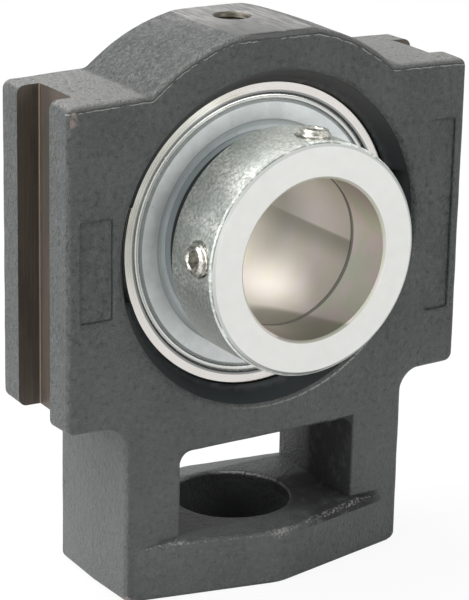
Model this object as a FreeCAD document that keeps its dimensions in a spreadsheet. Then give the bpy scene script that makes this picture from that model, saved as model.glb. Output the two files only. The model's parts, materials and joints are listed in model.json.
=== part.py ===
import FreeCAD, Part
import math
import os
import re
import sys
import Sketcher

# Take-up bearing unit: a cast-iron take-up housing that slides between two guide rails,
# with a self-aligning insert ball bearing and an eccentric locking collar.
# X runs across the guides, Y along the shaft (the collar is at -Y), Z up.
# The origin is the centre of the spherical seat, on the shaft's axis.

Vector = FreeCAD.Vector
Rotation = FreeCAD.Rotation
Placement = FreeCAD.Placement

# Every driving size, in millimetres and degrees, with what it measures.
SIZES = [
    # housing casting
    ("body_width", 114.0, "overall width across both guides"),
    ("body_depth", 33.0, "thickness of the plate, front to back"),
    ("draft", 1.0, "casting draft each side of the parting plane, degrees"),
    ("hub_radius", 53.0, "round top of the casting"),
    ("pad_height", 51.7, "ground flat on top of the hub, above the axis"),
    ("shoulder_inner", 40.3, "guide top beside the hub, above the axis"),
    ("shoulder_outer", 39.6, "guide top at its outer end, above the axis"),
    ("guide_foot_inner", 41.4, "guide bottom beside the foot, below the axis"),
    ("guide_foot_outer", 41.0, "guide bottom at its outer end, below the axis"),
    ("foot_width", 82.0, "width of the foot"),
    ("foot_drop", 88.0, "foot's end face, below the axis"),
    ("lip_depth", 49.0, "foot's thickness at the two rounded ridges"),
    ("lip_tip_width", 77.0, "width over which the ridges stand out from the plate"),
    ("ridge_radius", 12.0, "rounding of each ridge, seen from above"),
    ("lip_slope", 1.1, "fall of the lip's top from the plate to the ridge"),
    ("lip_tip_fall", 1.6, "fall of the lip's top from beside the window to its tips"),
    ("foot_fillet", 5.6, "inner corner between guide and foot"),
    ("hub_fillet", 3.0, "inner corner between guide and hub"),
    ("guide_corner", 2.2, "outer corners of the guides"),
    ("foot_corner", 2.0, "lower corners of the foot"),
    ("cast_edge", 1.2, "rounding of the cast edges"),
    # machined and cored places in the housing
    ("groove_width", 16.0, "guide groove, front to back"),
    ("groove_span", 102.0, "distance between the two groove floors"),
    ("window_width", 51.0, "nut window, across"),
    ("window_top", 50.6, "top of the nut window, below the axis"),
    ("window_floor", 72.6, "floor of the nut window, below the axis"),
    ("window_corner", 3.4, "corner radius of the nut window"),
    ("screw_hole_diameter", 30.0, "hole for the adjusting screw"),
    ("screw_hole_rim", 1.1, "rounding at both ends of that hole"),
    ("recess_radius", 42.2, "mouth of the bearing recess"),
    ("recess_edge", 0.8, "bevel at the recess's mouth"),
    ("seat_half_width", 11.4, "spherical seat, from its middle to each end"),
    ("seat_ledge", 0.9, "narrow ledge around the seat"),
    ("seat_play", 0.05, "running gap between seat and outer ring"),
    ("slot_half_height", 12.0, "loading slot, from the axis up or down"),
    ("grease_hole_diameter", 8.7, "core of the threaded grease hole"),
    ("grease_hole_depth", 9.0, "threaded stretch of the grease hole"),
    ("grease_hole_offset", 4.2, "grease hole, behind the middle of the seat"),
    ("grease_drill_diameter", 4.0, "drilled way from there to the seat"),
    ("grease_chamfer", 0.5, "bevel at the grease hole's mouth"),
    # rings
    ("outer_diameter", 80.0, "spherical outside of the outer ring"),
    ("outer_width", 21.0, "width of the outer ring"),
    ("outer_chamfer", 0.7, "bevel on the outer ring's outside edges"),
    ("outer_shoulder_radius", 34.0, "outer ring, inside, beside the raceway"),
    ("bore_diameter", 40.0, "shaft bore"),
    ("inner_half_length", 21.4, "inner ring, from its middle to each end"),
    ("inner_shoulder_radius", 26.15, "inner ring, outside, beside the raceway"),
    ("ring_chamfer", 0.6, "bevels at the ends of the bore"),
    ("ball_diameter", 12.0, "ball"),
    ("ball_count", 9.0, "number of balls"),
    ("pitch_diameter", 60.0, "circle through the balls' centres"),
    ("race_gap", 0.02, "gap between a ball and the bottom of a raceway"),
    ("race_radius", 6.25, "raceway's own radius across its groove"),
    ("lube_drill_diameter", 2.5, "grease holes through the outer ring"),
    ("lube_drill_offset", 7.0, "those holes, behind the middle"),
    ("lube_drill_angle", 120.0, "angle between those holes, degrees"),
    # cage
    ("cage_inner_radius", 27.9, "cage, inside"),
    ("cage_outer_radius", 32.3, "cage, outside"),
    ("cage_back", 7.4, "closed side of the cage, behind the middle"),
    ("cage_front", 4.2, "open side of the cage, in front of the middle"),
    ("pocket_gap", 0.2, "gap between a ball and its pocket"),
    ("claw_gap_width", 3.4, "gap between the claws of neighbouring pockets"),
    ("claw_gap_depth", 5.0, "depth of that gap"),
    # seals
    ("seal_radius", 35.55, "outside of the seal's washers"),
    ("seal_fit", 0.03, "gap between the seal and its seat in the outer ring"),
    ("seal_recess", 0.25, "outer washer, behind the ring's face"),
    ("seal_depth", 2.2, "seal seat in the outer ring, from its face"),
    ("sheet", 0.5, "thickness of the washers' sheet"),
    ("bead_inner_radius", 34.05, "inner edge of the rolled bead"),
    ("bead_groove_depth", 0.4, "groove between the bead and the flat"),
    ("bead_groove_width", 0.75, "width of that groove at the top"),
    ("bead_slope", 0.2, "each side wall of that groove"),
    ("flat_inner_radius", 28.9, "inner edge of the washer's flat"),
    ("cone_width", 1.6, "conical inner border of the outer washer"),
    ("cone_depth", 0.8, "fall of that border"),
    ("washer_hole_radius", 26.8, "hole in the outer washer"),
    ("lip_gap", 0.04, "gap between the seal lip and the inner ring"),
    ("lip_length", 0.65, "length of the sealing lip"),
    ("lip_back_radius", 28.4, "hole in the inner washer"),
    # eccentric locking collar
    ("collar_radius", 29.0, "outside of the collar"),
    ("collar_front", 35.1, "front face of the collar, in front of the middle"),
    ("collar_width", 18.3, "width of the collar"),
    ("collar_chamfer", 1.2, "bevel on the collar's front edge"),
    ("collar_back_chamfer", 0.5, "bevel on the collar's back edge"),
    ("eccentricity", 0.8, "offset of the clamping recess"),
    ("spigot_radius", 25.2, "eccentric end of the inner ring"),
    ("spigot_length", 4.8, "length of that end"),
    ("recess_play", 0.34, "gap between recess and spigot before clamping"),
    ("joint_gap", 0.2, "end gap between collar and inner ring"),
    ("collar_turn", 5.5, "how far the collar and inner ring are turned at rest, degrees"),
    # set screws
    ("set_screw_radius", 3.95, "outside of a set screw"),
    ("set_screw_play", 0.05, "gap between a set screw and its hole"),
    ("set_screw_length", 10.0, "length of a set screw"),
    ("set_screw_stand_out", 1.7, "how far a set screw stands out of the collar"),
    ("set_screw_setback", 6.3, "set screws, behind the collar's front face"),
    ("set_screw_chamfer", 0.7, "bevel at both ends of a set screw"),
    ("socket_width", 4.0, "hexagon socket, across flats"),
    ("socket_depth", 4.5, "depth of that socket"),
    ("cup_radius", 2.4, "cup at the clamping end"),
    ("cup_depth", 1.0, "depth of that cup"),
    ("countersink_radius", 5.0, "countersink at a set screw's hole"),
    ("countersink_depth", 1.0, "depth of that countersink"),
]

doc = FreeCAD.newDocument("take_up_unit")
sheet = doc.addObject("Spreadsheet::Sheet", "Sizes")
ALIASES = {name for name, value, note in SIZES}


def fill_sheet():
    """Write one row a size: its name, its value and what it measures."""
    for row, (name, value, note) in enumerate(SIZES, start=1):
        sheet.set(f"A{row}", name)
        sheet.set(f"B{row}", str(value))
        sheet.set(f"C{row}", note)
        sheet.setAlias(f"B{row}", name)
    doc.recompute()


def cells(text):
    """Turn plain size names into references to the sheet's cells."""
    return re.sub(r"[a-z_]+", lambda m: f"Sizes.{m[0]}" if m[0] in ALIASES else m[0], text)


def size(text):
    """The present value of an expression in size names."""
    return float(sheet.evalExpression(cells(text)))


def bind(thing, **expressions):
    """Bind properties of an object to expressions in size names."""
    for name, text in expressions.items():
        thing.setExpression(name.replace("__", "."), cells(text))


def new_body(name):
    body = doc.addObject("PartDesign::Body", name)
    body.Label = name
    return body


def origin_feature(body, role):
    return next(item for item in body.Origin.OriginFeatures if item.Role == role)


def fix_point(sketch, geometry, end, x, y):
    """Hold one point of a sketch at a place given by two expressions."""
    for kind, text in (("DistanceX", x), ("DistanceY", y)):
        index = sketch.addConstraint(Sketcher.Constraint(kind, -1, 1, geometry, end, size(text)))
        sketch.setExpression(f"Constraints[{index}]", cells(text))


def new_sketch(body, name, role, lift="0"):
    """A sketch on one of the body's own origin planes, lifted along the plane's normal."""
    sketch = body.newObject("Sketcher::SketchObject", name)
    sketch.AttachmentSupport = (origin_feature(body, role), "")
    sketch.MapMode = "FlatFace"
    if lift != "0":
        sketch.setExpression("AttachmentOffset.Base.z", cells(lift))
    doc.recompute()
    return sketch


def outline(body, name, role, points, lift="0"):
    """A closed outline through points given as expressions. A third entry in a point bends the
    side that starts there: it is the expression of the arc's radius and the side it bulges to."""
    sketch = new_sketch(body, name, role, lift)
    places = [Vector(size(p[0]), size(p[1]), 0) for p in points]
    for index, point in enumerate(points):
        start = places[index]
        end = places[(index + 1) % len(points)]
        if len(point) == 2:
            sketch.addGeometry(Part.LineSegment(start, end), False)
        else:
            sketch.addGeometry(bent_side(start, end, size(point[2]), point[3]), False)
    for index, point in enumerate(points):
        following = (index + 1) % len(points)
        this_end = end_of_side(sketch, index, places[following])
        next_start = 3 - end_of_side(sketch, following, places[(following + 1) % len(points)])
        sketch.addConstraint(Sketcher.Constraint("Coincident", index, this_end, following, next_start))
        fix_point(sketch, index, 3 - this_end, point[0], point[1])
        if len(point) > 2:
            radius = sketch.addConstraint(Sketcher.Constraint("Radius", index, size(point[2])))
            sketch.setExpression(f"Constraints[{radius}]", cells(point[2]))
    return sketch


def bent_side(start, end, radius, bulge):
    """An arc from start to end. A bulge of 1 bends it to the left of that way, -1 to the right."""
    half = (end - start) * 0.5
    left = Vector(-half.y, half.x, 0).normalize()
    reach = (radius**2 - half.Length**2) ** 0.5
    top = start + half + left * bulge * (radius - reach)
    return Part.Arc(start, top, end)


def end_of_side(sketch, index, place):
    """Which end, 1 or 2, of a side of the sketch lies at a place."""
    side = sketch.Geometry[index]
    return 1 if (side.StartPoint - place).Length < (side.EndPoint - place).Length else 2


def circle(body, name, role, x, y, radius, lift="0"):
    """A sketch of one circle."""
    sketch = new_sketch(body, name, role, lift)
    add_circle(sketch, x, y, radius)
    return sketch


def add_circle(sketch, x, y, radius):
    place = Vector(size(x), size(y), 0)
    geometry = sketch.addGeometry(Part.Circle(place, Vector(0, 0, 1), size(radius)), False)
    fix_point(sketch, geometry, 3, x, y)
    index = sketch.addConstraint(Sketcher.Constraint("Radius", geometry, size(radius)))
    sketch.setExpression(f"Constraints[{index}]", cells(radius))


def stop_if_failed(feature):
    """Stop at the first feature that doesn't come out, and say which it is."""
    if "Invalid" in feature.State or feature.Shape.isNull() or not feature.Shape.isValid():
        sys.exit(f"{feature.Name} failed: {feature.getStatusString()}")


def pad(body, name, sketch, length, back=None, taper=None):
    """A pad one way, or both ways from the sketch where back is given."""
    feature = body.newObject("PartDesign::Pad", name)
    feature.Profile = sketch
    bind(feature, Length=length)
    if back is not None:
        feature.SideType = "Two sides"
        bind(feature, Length2=back)
    if taper is not None:
        bind(feature, TaperAngle=taper, TaperAngle2=taper)
    doc.recompute()
    stop_if_failed(feature)
    return feature


def pocket(body, name, sketch, length, back=None, reverse=False):
    """A pocket. It has to take something away, or the build stops."""
    before = body.Shape.Volume
    feature = body.newObject("PartDesign::Pocket", name)
    feature.Profile = sketch
    feature.Reversed = reverse
    bind(feature, Length=length)
    if back is not None:
        feature.SideType = "Two sides"
        bind(feature, Length2=back)
    doc.recompute()
    stop_if_failed(feature)
    check_cut(name, before, body.Shape.Volume)
    return feature


def revolve(body, name, sketch):
    """A turned form about the shaft's axis, which is the sketch's vertical axis."""
    feature = body.newObject("PartDesign::Revolution", name)
    feature.Profile = sketch
    feature.ReferenceAxis = (sketch, ["V_Axis"])
    feature.Angle = 360
    doc.recompute()
    stop_if_failed(feature)
    return feature


def turn_out(body, name, sketch):
    """A turned cut about the sketch's vertical axis."""
    before = body.Shape.Volume
    feature = body.newObject("PartDesign::Groove", name)
    feature.Profile = sketch
    feature.ReferenceAxis = (sketch, ["V_Axis"])
    feature.Angle = 360
    doc.recompute()
    stop_if_failed(feature)
    check_cut(name, before, body.Shape.Volume)
    return feature


def check_cut(name, before, after):
    if not after < before - 0.01:
        sys.exit(f"{name} cuts nothing: {before:.2f} before and {after:.2f} after")


def join(body, name, other):
    """Fuse another body's solid into this one."""
    feature = body.newObject("PartDesign::Boolean", name)
    feature.Type = "Fuse"
    feature.setObjects([other])
    doc.recompute()
    stop_if_failed(feature)
    return feature


def around(body, name, features, axis, count):
    """Repeat features about one of the body's own axes."""
    pattern = body.newObject("PartDesign::PolarPattern", name)
    pattern.Originals = features
    pattern.Axis = (origin_feature(body, axis), [""])
    pattern.Angle = 360
    bind(pattern, Occurrences=count)
    body.Tip = pattern
    doc.recompute()
    return pattern


def round_edges(body, name, radius, test):
    """Round every edge of the body's last feature that a test picks."""
    base = body.Tip
    names = [f"Edge{i}" for i, edge in enumerate(base.Shape.Edges, start=1) if test(edge)]
    if not names:
        sys.exit(f"{name} finds no edge to round")
    feature = body.newObject("PartDesign::Fillet", name)
    feature.Base = (base, names)
    bind(feature, Radius=radius)
    doc.recompute()
    stop_if_failed(feature)
    return feature


def bevel_edges(body, name, width, test):
    """Bevel every edge of the body's last feature that a test picks."""
    base = body.Tip
    names = [f"Edge{i}" for i, edge in enumerate(base.Shape.Edges, start=1) if test(edge)]
    if not names:
        sys.exit(f"{name} finds no edge to bevel")
    feature = body.newObject("PartDesign::Chamfer", name)
    feature.Base = (base, names)
    bind(feature, Size=width)
    doc.recompute()
    stop_if_failed(feature)
    return feature


def middle_of(edge):
    return edge.valueAt((edge.FirstParameter + edge.LastParameter) / 2)


def near(edge, x=None, y=None, z=None, within=1.0):
    """Whether an edge's middle lies near a place. A coordinate that is left out may be any."""
    middle = middle_of(edge)
    pairs = ((middle.x, x), (middle.y, y), (middle.z, z))
    return all(want is None or abs(have - want) < within for have, want in pairs)


def runs_front_to_back(edge):
    """Whether an edge crosses a good part of the plate's thickness, close to straight."""
    ends = edge.Vertexes
    if len(ends) < 2:
        return False
    way = ends[1].Point - ends[0].Point
    return abs(way.y) > 0.3 * size("body_depth") and abs(way.y) > 0.99 * way.Length


def lies_in_plane(edge, y):
    box = edge.BoundBox
    return abs(box.YMin - y) < 1e-4 and abs(box.YMax - y) < 1e-4


def plate_outline():
    """The casting's outline in the parting plane, from the foot's lower left corner."""
    half_foot = "foot_width / 2"
    half_body = "body_width / 2"
    hub_x = "sqrt(hub_radius ^ 2 - shoulder_inner ^ 2)"
    return [
        (f"-{half_foot}", "-foot_drop"),
        (half_foot, "-foot_drop"),
        (half_foot, "-guide_foot_inner"),
        (half_body, "-guide_foot_outer"),
        (half_body, "shoulder_outer"),
        (hub_x, "shoulder_inner", "hub_radius", -1),
        (f"-{hub_x}", "shoulder_inner"),
        (f"-{half_body}", "shoulder_outer"),
        (f"-{half_body}", "-guide_foot_outer"),
        (f"-{half_foot}", "-guide_foot_inner"),
    ]


def make_plate(housing):
    """The cast plate: guides, round hub and foot, drafted both ways and rounded."""
    sketch = outline(housing, "plate_outline", "XZ_Plane", plate_outline())
    pad(housing, "plate", sketch, "body_depth / 2", "body_depth / 2", "-draft")
    hub_x = size("sqrt(hub_radius ^ 2 - shoulder_inner ^ 2)")
    corners = [
        ("foot_inner_corners", "foot_fillet", size("foot_width / 2"), -size("guide_foot_inner")),
        ("hub_inner_corners", "hub_fillet", hub_x, size("shoulder_inner")),
        ("guide_top_corners", "guide_corner", size("body_width / 2"), size("shoulder_outer")),
        ("guide_low_corners", "guide_corner", size("body_width / 2"), -size("guide_foot_outer")),
        ("foot_low_corners", "foot_corner", size("foot_width / 2"), -size("foot_drop")),
    ]
    for name, radius, x, z in corners:
        round_edges(
            housing, name, radius,
            lambda e: runs_front_to_back(e) and (near(e, x=x, z=z) or near(e, x=-x, z=z)),
        )
    face = size("body_depth / 2")
    round_edges(
        housing, "plate_edges", "cast_edge",
        lambda e: lies_in_plane(e, face) or lies_in_plane(e, -face),
    )


def lip_plan(body):
    """Seen from above: a flat six-sided block whose two ridges stand out of the plate."""
    ridge = "lip_depth / 2"
    face = "body_depth / 2"
    tip = "lip_tip_width / 2"
    # where a ridge's rounding meets its straight flanks
    turn = "ridge_radius * sin(atan((lip_depth - body_depth) / lip_tip_width))"
    flank = f"{ridge} - ({turn}) * (lip_depth - body_depth) / lip_tip_width"
    points = [
        (f"-({tip})", f"-({face})"),
        (f"-({turn})", f"-({flank})", "ridge_radius", -1),
        (turn, f"-({flank})"),
        (tip, f"-({face})"),
        (tip, face),
        (turn, flank, "ridge_radius", -1),
        (f"-({turn})", flank),
        (f"-({tip})", face),
    ]
    return outline(body, "lip_plan", "XY_Plane", points, "-foot_drop")


def make_foot_lips():
    """The block whose two low ridges thicken the foot below the nut window."""
    lips = new_body("foot_lips")
    pad(lips, "lip_block", lip_plan(lips), "foot_drop - window_floor")
    slope_lip_tops(lips)
    slope_lip_tips(lips)
    face = size("body_depth / 2")
    round_edges(
        lips, "lip_edges", "cast_edge",
        lambda e: abs(middle_of(e).y) > face + 0.05 and e.BoundBox.ZLength < size("lip_slope + lip_tip_fall"),
    )
    return lips


def slope_lip_tops(lips):
    """Let the block's top fall towards both ridges."""
    face = "body_depth / 2"
    past = "lip_depth / 2 + 1"
    drop = "lip_slope * (lip_depth - body_depth + 2) / (lip_depth - body_depth)"
    for name, sign in (("front", "-1"), ("back", "1")):
        points = [
            (f"{sign} * ({face})", "-window_floor"),
            (f"{sign} * ({past})", f"-window_floor - {drop}"),
            (f"{sign} * ({past})", "-window_floor + 1"),
            (f"{sign} * ({face})", "-window_floor + 1"),
        ]
        sketch = outline(lips, f"lip_slope_{name}", "YZ_Plane", points)
        pocket(lips, f"lip_fall_{name}", sketch, "foot_width / 2", "foot_width / 2")


def slope_lip_tips(lips):
    """Let the block's top fall from beside the window towards its four tips."""
    start = "window_width / 2"
    end = "lip_tip_width / 2"
    for name, sign in (("left", "-1"), ("right", "1")):
        points = [
            (f"{sign} * ({start})", "-window_floor"),
            (f"{sign} * ({end})", "-window_floor - lip_tip_fall"),
            (f"{sign} * ({end} + 1)", "-window_floor - lip_tip_fall"),
            (f"{sign} * ({end} + 1)", "-window_floor + 1"),
            (f"{sign} * ({start})", "-window_floor + 1"),
        ]
        sketch = outline(lips, f"tip_slope_{name}", "XZ_Plane", points)
        pocket(lips, f"tip_fall_{name}", sketch, "lip_depth", "lip_depth")


def cut_window(housing):
    """The nut window through the foot."""
    half = "window_width / 2"
    points = [
        (f"-{half}", "-window_floor"),
        (half, "-window_floor"),
        (half, "-window_top"),
        (f"-{half}", "-window_top"),
    ]
    sketch = outline(housing, "window_outline", "XZ_Plane", points)
    pocket(housing, "nut_window", sketch, "lip_depth", "lip_depth")
    x = size(half)
    top = -size("window_top")
    round_edges(
        housing, "window_corners", "window_corner",
        lambda e: runs_front_to_back(e) and (near(e, x=x, z=top) or near(e, x=-x, z=top)),
    )


def cut_screw_hole(housing):
    """The hole that the adjusting screw passes on its way to the nut."""
    radius = "screw_hole_diameter / 2"
    sketch = circle(housing, "screw_hole_circle", "XY_Plane", "0", "0", radius, "-foot_drop - 1")
    pocket(housing, "screw_hole", sketch, "foot_drop - window_floor + 5", reverse=True)
    girth = 2 * math.pi * size(radius)
    middle = -size("(foot_drop + window_floor) / 2")
    reach = size("foot_drop - window_floor")
    round_edges(
        housing, "screw_hole_rims", "screw_hole_rim",
        lambda e: abs(e.Length - girth) < 0.1 and near(e, z=middle, within=reach),
    )


def cut_guides(housing):
    """The machined groove down each side, which rides on a guide rail."""
    floor = "groove_span / 2"
    side = "groove_width / 2"
    for name, sign in (("left", "-1"), ("right", "1")):
        points = [
            (f"{sign} * {floor}", f"-{side}"),
            (f"{sign} * body_width", f"-{side}"),
            (f"{sign} * body_width", side),
            (f"{sign} * {floor}", side),
        ]
        sketch = outline(housing, f"groove_section_{name}", "XY_Plane", points)
        pocket(housing, f"guide_groove_{name}", sketch, "body_width", "body_width")


def cut_seat(housing):
    """The spherical seat, open to both faces through a conical recess."""
    mouth = "recess_radius"
    face = "body_depth / 2"
    seat = "outer_diameter / 2 + seat_play"
    edge = f"sqrt(({seat}) ^ 2 - seat_half_width ^ 2)"
    points = [
        ("0", f"-({face}) - 1"),
        (f"{mouth} + recess_edge", f"-({face}) - 1"),
        (f"{mouth} + recess_edge", f"-({face})"),
        (mouth, f"-({face}) + recess_edge"),
        (f"{edge} + seat_ledge", "-seat_half_width"),
        (edge, "-seat_half_width", seat, -1),
        (edge, "seat_half_width"),
        (f"{edge} + seat_ledge", "seat_half_width"),
        (mouth, f"{face} - recess_edge"),
        (f"{mouth} + recess_edge", face),
        (f"{mouth} + recess_edge", f"{face} + 1"),
        ("0", f"{face} + 1"),
    ]
    sketch = outline(housing, "seat_section", "XY_Plane", points)
    turn_out(housing, "seat", sketch)
    slot = [
        (f"-({seat})", "-slot_half_height"),
        (seat, "-slot_half_height"),
        (seat, "slot_half_height"),
        (f"-({seat})", "slot_half_height"),
    ]
    sketch = outline(housing, "slot_outline", "XZ_Plane", slot)
    pocket(housing, "loading_slots", sketch, "body_depth", reverse=True)


def cut_top(housing):
    """The ground pad on the hub, and the grease hole down to the seat."""
    wide = "hub_radius"
    points = [
        (f"-{wide}", "pad_height"),
        (wide, "pad_height"),
        (wide, "hub_radius + 1"),
        (f"-{wide}", "hub_radius + 1"),
    ]
    sketch = outline(housing, "pad_outline", "XZ_Plane", points)
    pocket(housing, "ground_pad", sketch, "body_depth", "body_depth")
    offset = "grease_hole_offset"
    start = "pad_height - grease_hole_depth"
    core = circle(housing, "grease_core", "XY_Plane", "0", offset, "grease_hole_diameter / 2", start)
    pocket(housing, "grease_hole", core, "grease_hole_depth + 2", reverse=True)
    drill = circle(housing, "grease_drill", "XY_Plane", "0", offset, "grease_drill_diameter / 2")
    pocket(housing, "grease_way", drill, "pad_height", reverse=True)
    top = size("pad_height")
    width = size("grease_hole_diameter")
    bevel_edges(
        housing, "grease_hole_bevel", "grease_chamfer",
        lambda e: abs(e.BoundBox.ZMin - top) < 0.01 and abs(e.BoundBox.XLength - width) < 0.1,
    )


def make_housing():
    housing = new_body("housing")
    make_plate(housing)
    join(housing, "plate_and_lips", make_foot_lips())
    cut_window(housing)
    cut_screw_hole(housing)
    cut_guides(housing)
    cut_seat(housing)
    cut_top(housing)
    return housing


def make_outer_ring():
    """The outer ring: spherical outside, one raceway, a seat for a seal at each end."""
    ring = new_body("outer_ring")
    ball = "outer_diameter / 2"
    half = "outer_width / 2"
    edge = f"sqrt(({ball}) ^ 2 - ({half} - outer_chamfer) ^ 2)"
    seal_seat = "seal_radius + seal_fit"
    seat_floor = f"{half} - seal_depth"
    points = [
        ("outer_shoulder_radius", f"-({seat_floor})"),
        (seal_seat, f"-({seat_floor})"),
        (seal_seat, f"-({half})"),
        (f"{edge} - outer_chamfer", f"-({half})"),
        (edge, f"-({half} - outer_chamfer)", ball, -1),
        (edge, f"{half} - outer_chamfer"),
        (f"{edge} - outer_chamfer", half),
        (seal_seat, half),
        (seal_seat, seat_floor),
        ("outer_shoulder_radius", seat_floor),
    ]
    revolve(ring, "outer_turning", outline(ring, "outer_section", "XY_Plane", points))
    bottom = "pitch_diameter / 2 + ball_diameter / 2 + race_gap"
    turn_out(ring, "outer_raceway", race_section(ring, bottom, -1))
    drill_lube_holes(ring)
    return ring


def race_section(body, bottom, side):
    """A round groove for the balls, given the radius of its bottom and the side it opens to."""
    return circle(body, "race_section", "XY_Plane", f"{bottom} + ({side}) * race_radius", "0", "race_radius")


def drill_lube_holes(ring):
    """Two small radial holes let grease from the seat in beside the balls."""
    radius = "lube_drill_diameter / 2"
    up = circle(ring, "lube_circle", "XY_Plane", "0", "lube_drill_offset", radius)
    drill = pocket(ring, "lube_hole", up, "outer_diameter", reverse=True)
    pattern = ring.newObject("PartDesign::PolarPattern", "lube_holes")
    pattern.Originals = [drill]
    pattern.Axis = (origin_feature(ring, "Y_Axis"), [""])
    pattern.Mode = "Spacing"
    bind(pattern, Offset="lube_drill_angle")
    pattern.Occurrences = 2
    ring.Tip = pattern
    doc.recompute()
    stop_if_failed(pattern)


def make_inner_ring():
    """The inner ring: long, with a raceway, and an eccentric end that the collar clamps. Before
    clamping, the ring is turned as far as the collar, so that the two eccentrics line up."""
    ring = new_body("inner_ring")
    bore = "bore_diameter / 2"
    shoulder = "inner_shoulder_radius"
    half = "inner_half_length"
    points = [
        (bore, f"-({half} - ring_chamfer)"),
        (f"{bore} + ring_chamfer", f"-{half}"),
        (f"{shoulder} - ring_chamfer", f"-{half}"),
        (shoulder, f"-({half} - ring_chamfer)"),
        (shoulder, f"{half} - ring_chamfer"),
        (f"{shoulder} - ring_chamfer", half),
        (f"{bore} + ring_chamfer", half),
        (bore, f"{half} - ring_chamfer"),
    ]
    revolve(ring, "inner_turning", outline(ring, "inner_section", "XY_Plane", points))
    bottom = "pitch_diameter / 2 - ball_diameter / 2 - race_gap"
    turn_out(ring, "inner_raceway", race_section(ring, bottom, 1))
    cut_spigot(ring)
    turn_with_collar(ring)
    return ring


def cut_spigot(ring):
    """Turn the ring's front end down to an eccentric spigot."""
    lift = "inner_half_length - spigot_length"
    sketch = circle(ring, "spigot_circle", "XZ_Plane", "0", "eccentricity", "spigot_radius", lift)
    add_circle(sketch, "0", "0", "2 * inner_shoulder_radius")
    pocket(ring, "spigot", sketch, "spigot_length + 1", reverse=True)


def make_ball(number):
    """One ball, at its place on the pitch circle. The first one is at the bottom."""
    ball = doc.addObject("Part::Sphere", f"ball_{number}")
    ball.Label = f"ball_{number}"
    turn = f"(270 deg + {number - 1} * 360 deg / ball_count)"
    bind(
        ball,
        Radius="ball_diameter / 2",
        Placement__Base__x=f"pitch_diameter / 2 * cos{turn}",
        Placement__Base__z=f"pitch_diameter / 2 * sin{turn}",
    )
    doc.recompute()
    return ball


def make_cage():
    """The snap cage: a ring at the back, and a pair of claws round each ball."""
    cage = new_body("cage")
    points = [
        ("cage_inner_radius", "-cage_front"),
        ("cage_outer_radius", "-cage_front"),
        ("cage_outer_radius", "cage_back"),
        ("cage_inner_radius", "cage_back"),
    ]
    revolve(cage, "cage_ring", outline(cage, "cage_section", "XY_Plane", points))
    hollow = cage.newObject("PartDesign::SubtractiveSphere", "pocket_ball")
    bind(hollow, Radius="ball_diameter / 2 + pocket_gap", Placement__Base__z="-pitch_diameter / 2")
    doc.recompute()
    stop_if_failed(hollow)
    around(cage, "pockets", [hollow], "Y_Axis", "ball_count")
    cut_claws(cage)
    return cage


def cut_claws(cage):
    """Part the claws of neighbouring pockets with a short slot from the open side."""
    half = "claw_gap_width / 2"
    points = [
        (f"-{half}", "-cage_front - 1"),
        (half, "-cage_front - 1"),
        (half, "claw_gap_depth - cage_front"),
        (f"-{half}", "claw_gap_depth - cage_front"),
    ]
    sketch = outline(cage, "claw_gap_outline", "XY_Plane", points)
    slot = pocket(cage, "claw_gap", sketch, "cage_outer_radius + 1", reverse=True)
    around(cage, "claw_gaps", [slot], "Y_Axis", "ball_count")


def make_outer_washer(side, sign):
    """The sheet washer that shows: a rolled bead, a groove, a flat and a conical border."""
    face = "outer_width / 2 - seal_recess"
    groove = f"{face} - bead_groove_depth"
    border = f"{face} - cone_depth"
    bead_foot = "bead_inner_radius - bead_slope"
    flat_foot = f"{bead_foot} - bead_groove_width + 2 * bead_slope"
    shape = [
        ("seal_radius", face),
        ("bead_inner_radius", face),
        (bead_foot, groove),
        (flat_foot, groove),
        (f"{flat_foot} - bead_slope", face),
        ("flat_inner_radius", face),
        ("flat_inner_radius - cone_width", border),
        ("washer_hole_radius", border),
    ]
    back = [(radius, f"{depth} - sheet") for radius, depth in reversed(shape)]
    return turned_piece(f"{side}_outer_washer", shape + back, sign)


def make_seal_lip(side, sign):
    """The rubber washer between the two sheet washers, with its lip on the inner ring."""
    back_of_bead = "outer_width / 2 - seal_recess - sheet"
    front = f"{back_of_bead} - bead_groove_depth - seal_fit"
    back = f"{front} - sheet"
    groove_wall = "bead_inner_radius + bead_slope"
    lip = "inner_shoulder_radius + lip_gap"
    low = f"{front} - cone_depth"
    shape = [
        ("seal_radius", back_of_bead),
        (groove_wall, back_of_bead),
        (groove_wall, front),
        ("flat_inner_radius - sheet", front),
        ("flat_inner_radius - cone_width", low),
        (lip, low),
        (lip, f"{low} - lip_length"),
        (f"{lip} + sheet / 2", f"{low} - lip_length"),
        ("flat_inner_radius - cone_width", f"{low} - sheet"),
        ("lip_back_radius + sheet", back),
        ("seal_radius", back),
    ]
    return turned_piece(f"{side}_seal_lip", shape, sign)


def make_inner_washer(side, sign):
    """The flat sheet washer behind the rubber."""
    front = "outer_width / 2 - seal_recess - bead_groove_depth - seal_fit - 2 * sheet"
    shape = [
        ("seal_radius", front),
        ("lip_back_radius + sheet", front),
        ("lip_back_radius + sheet", f"{front} - sheet"),
        ("seal_radius", f"{front} - sheet"),
    ]
    return turned_piece(f"{side}_inner_washer", shape, sign)


def turned_piece(name, points, sign):
    """A turned piece, given for the back of the unit and mirrored to its front by the sign."""
    piece = new_body(name)
    placed = [(radius, f"{sign} * ({depth})") for radius, depth in points]
    revolve(piece, f"{name}_turning", outline(piece, f"{name}_section", "XY_Plane", placed))
    return piece


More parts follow.
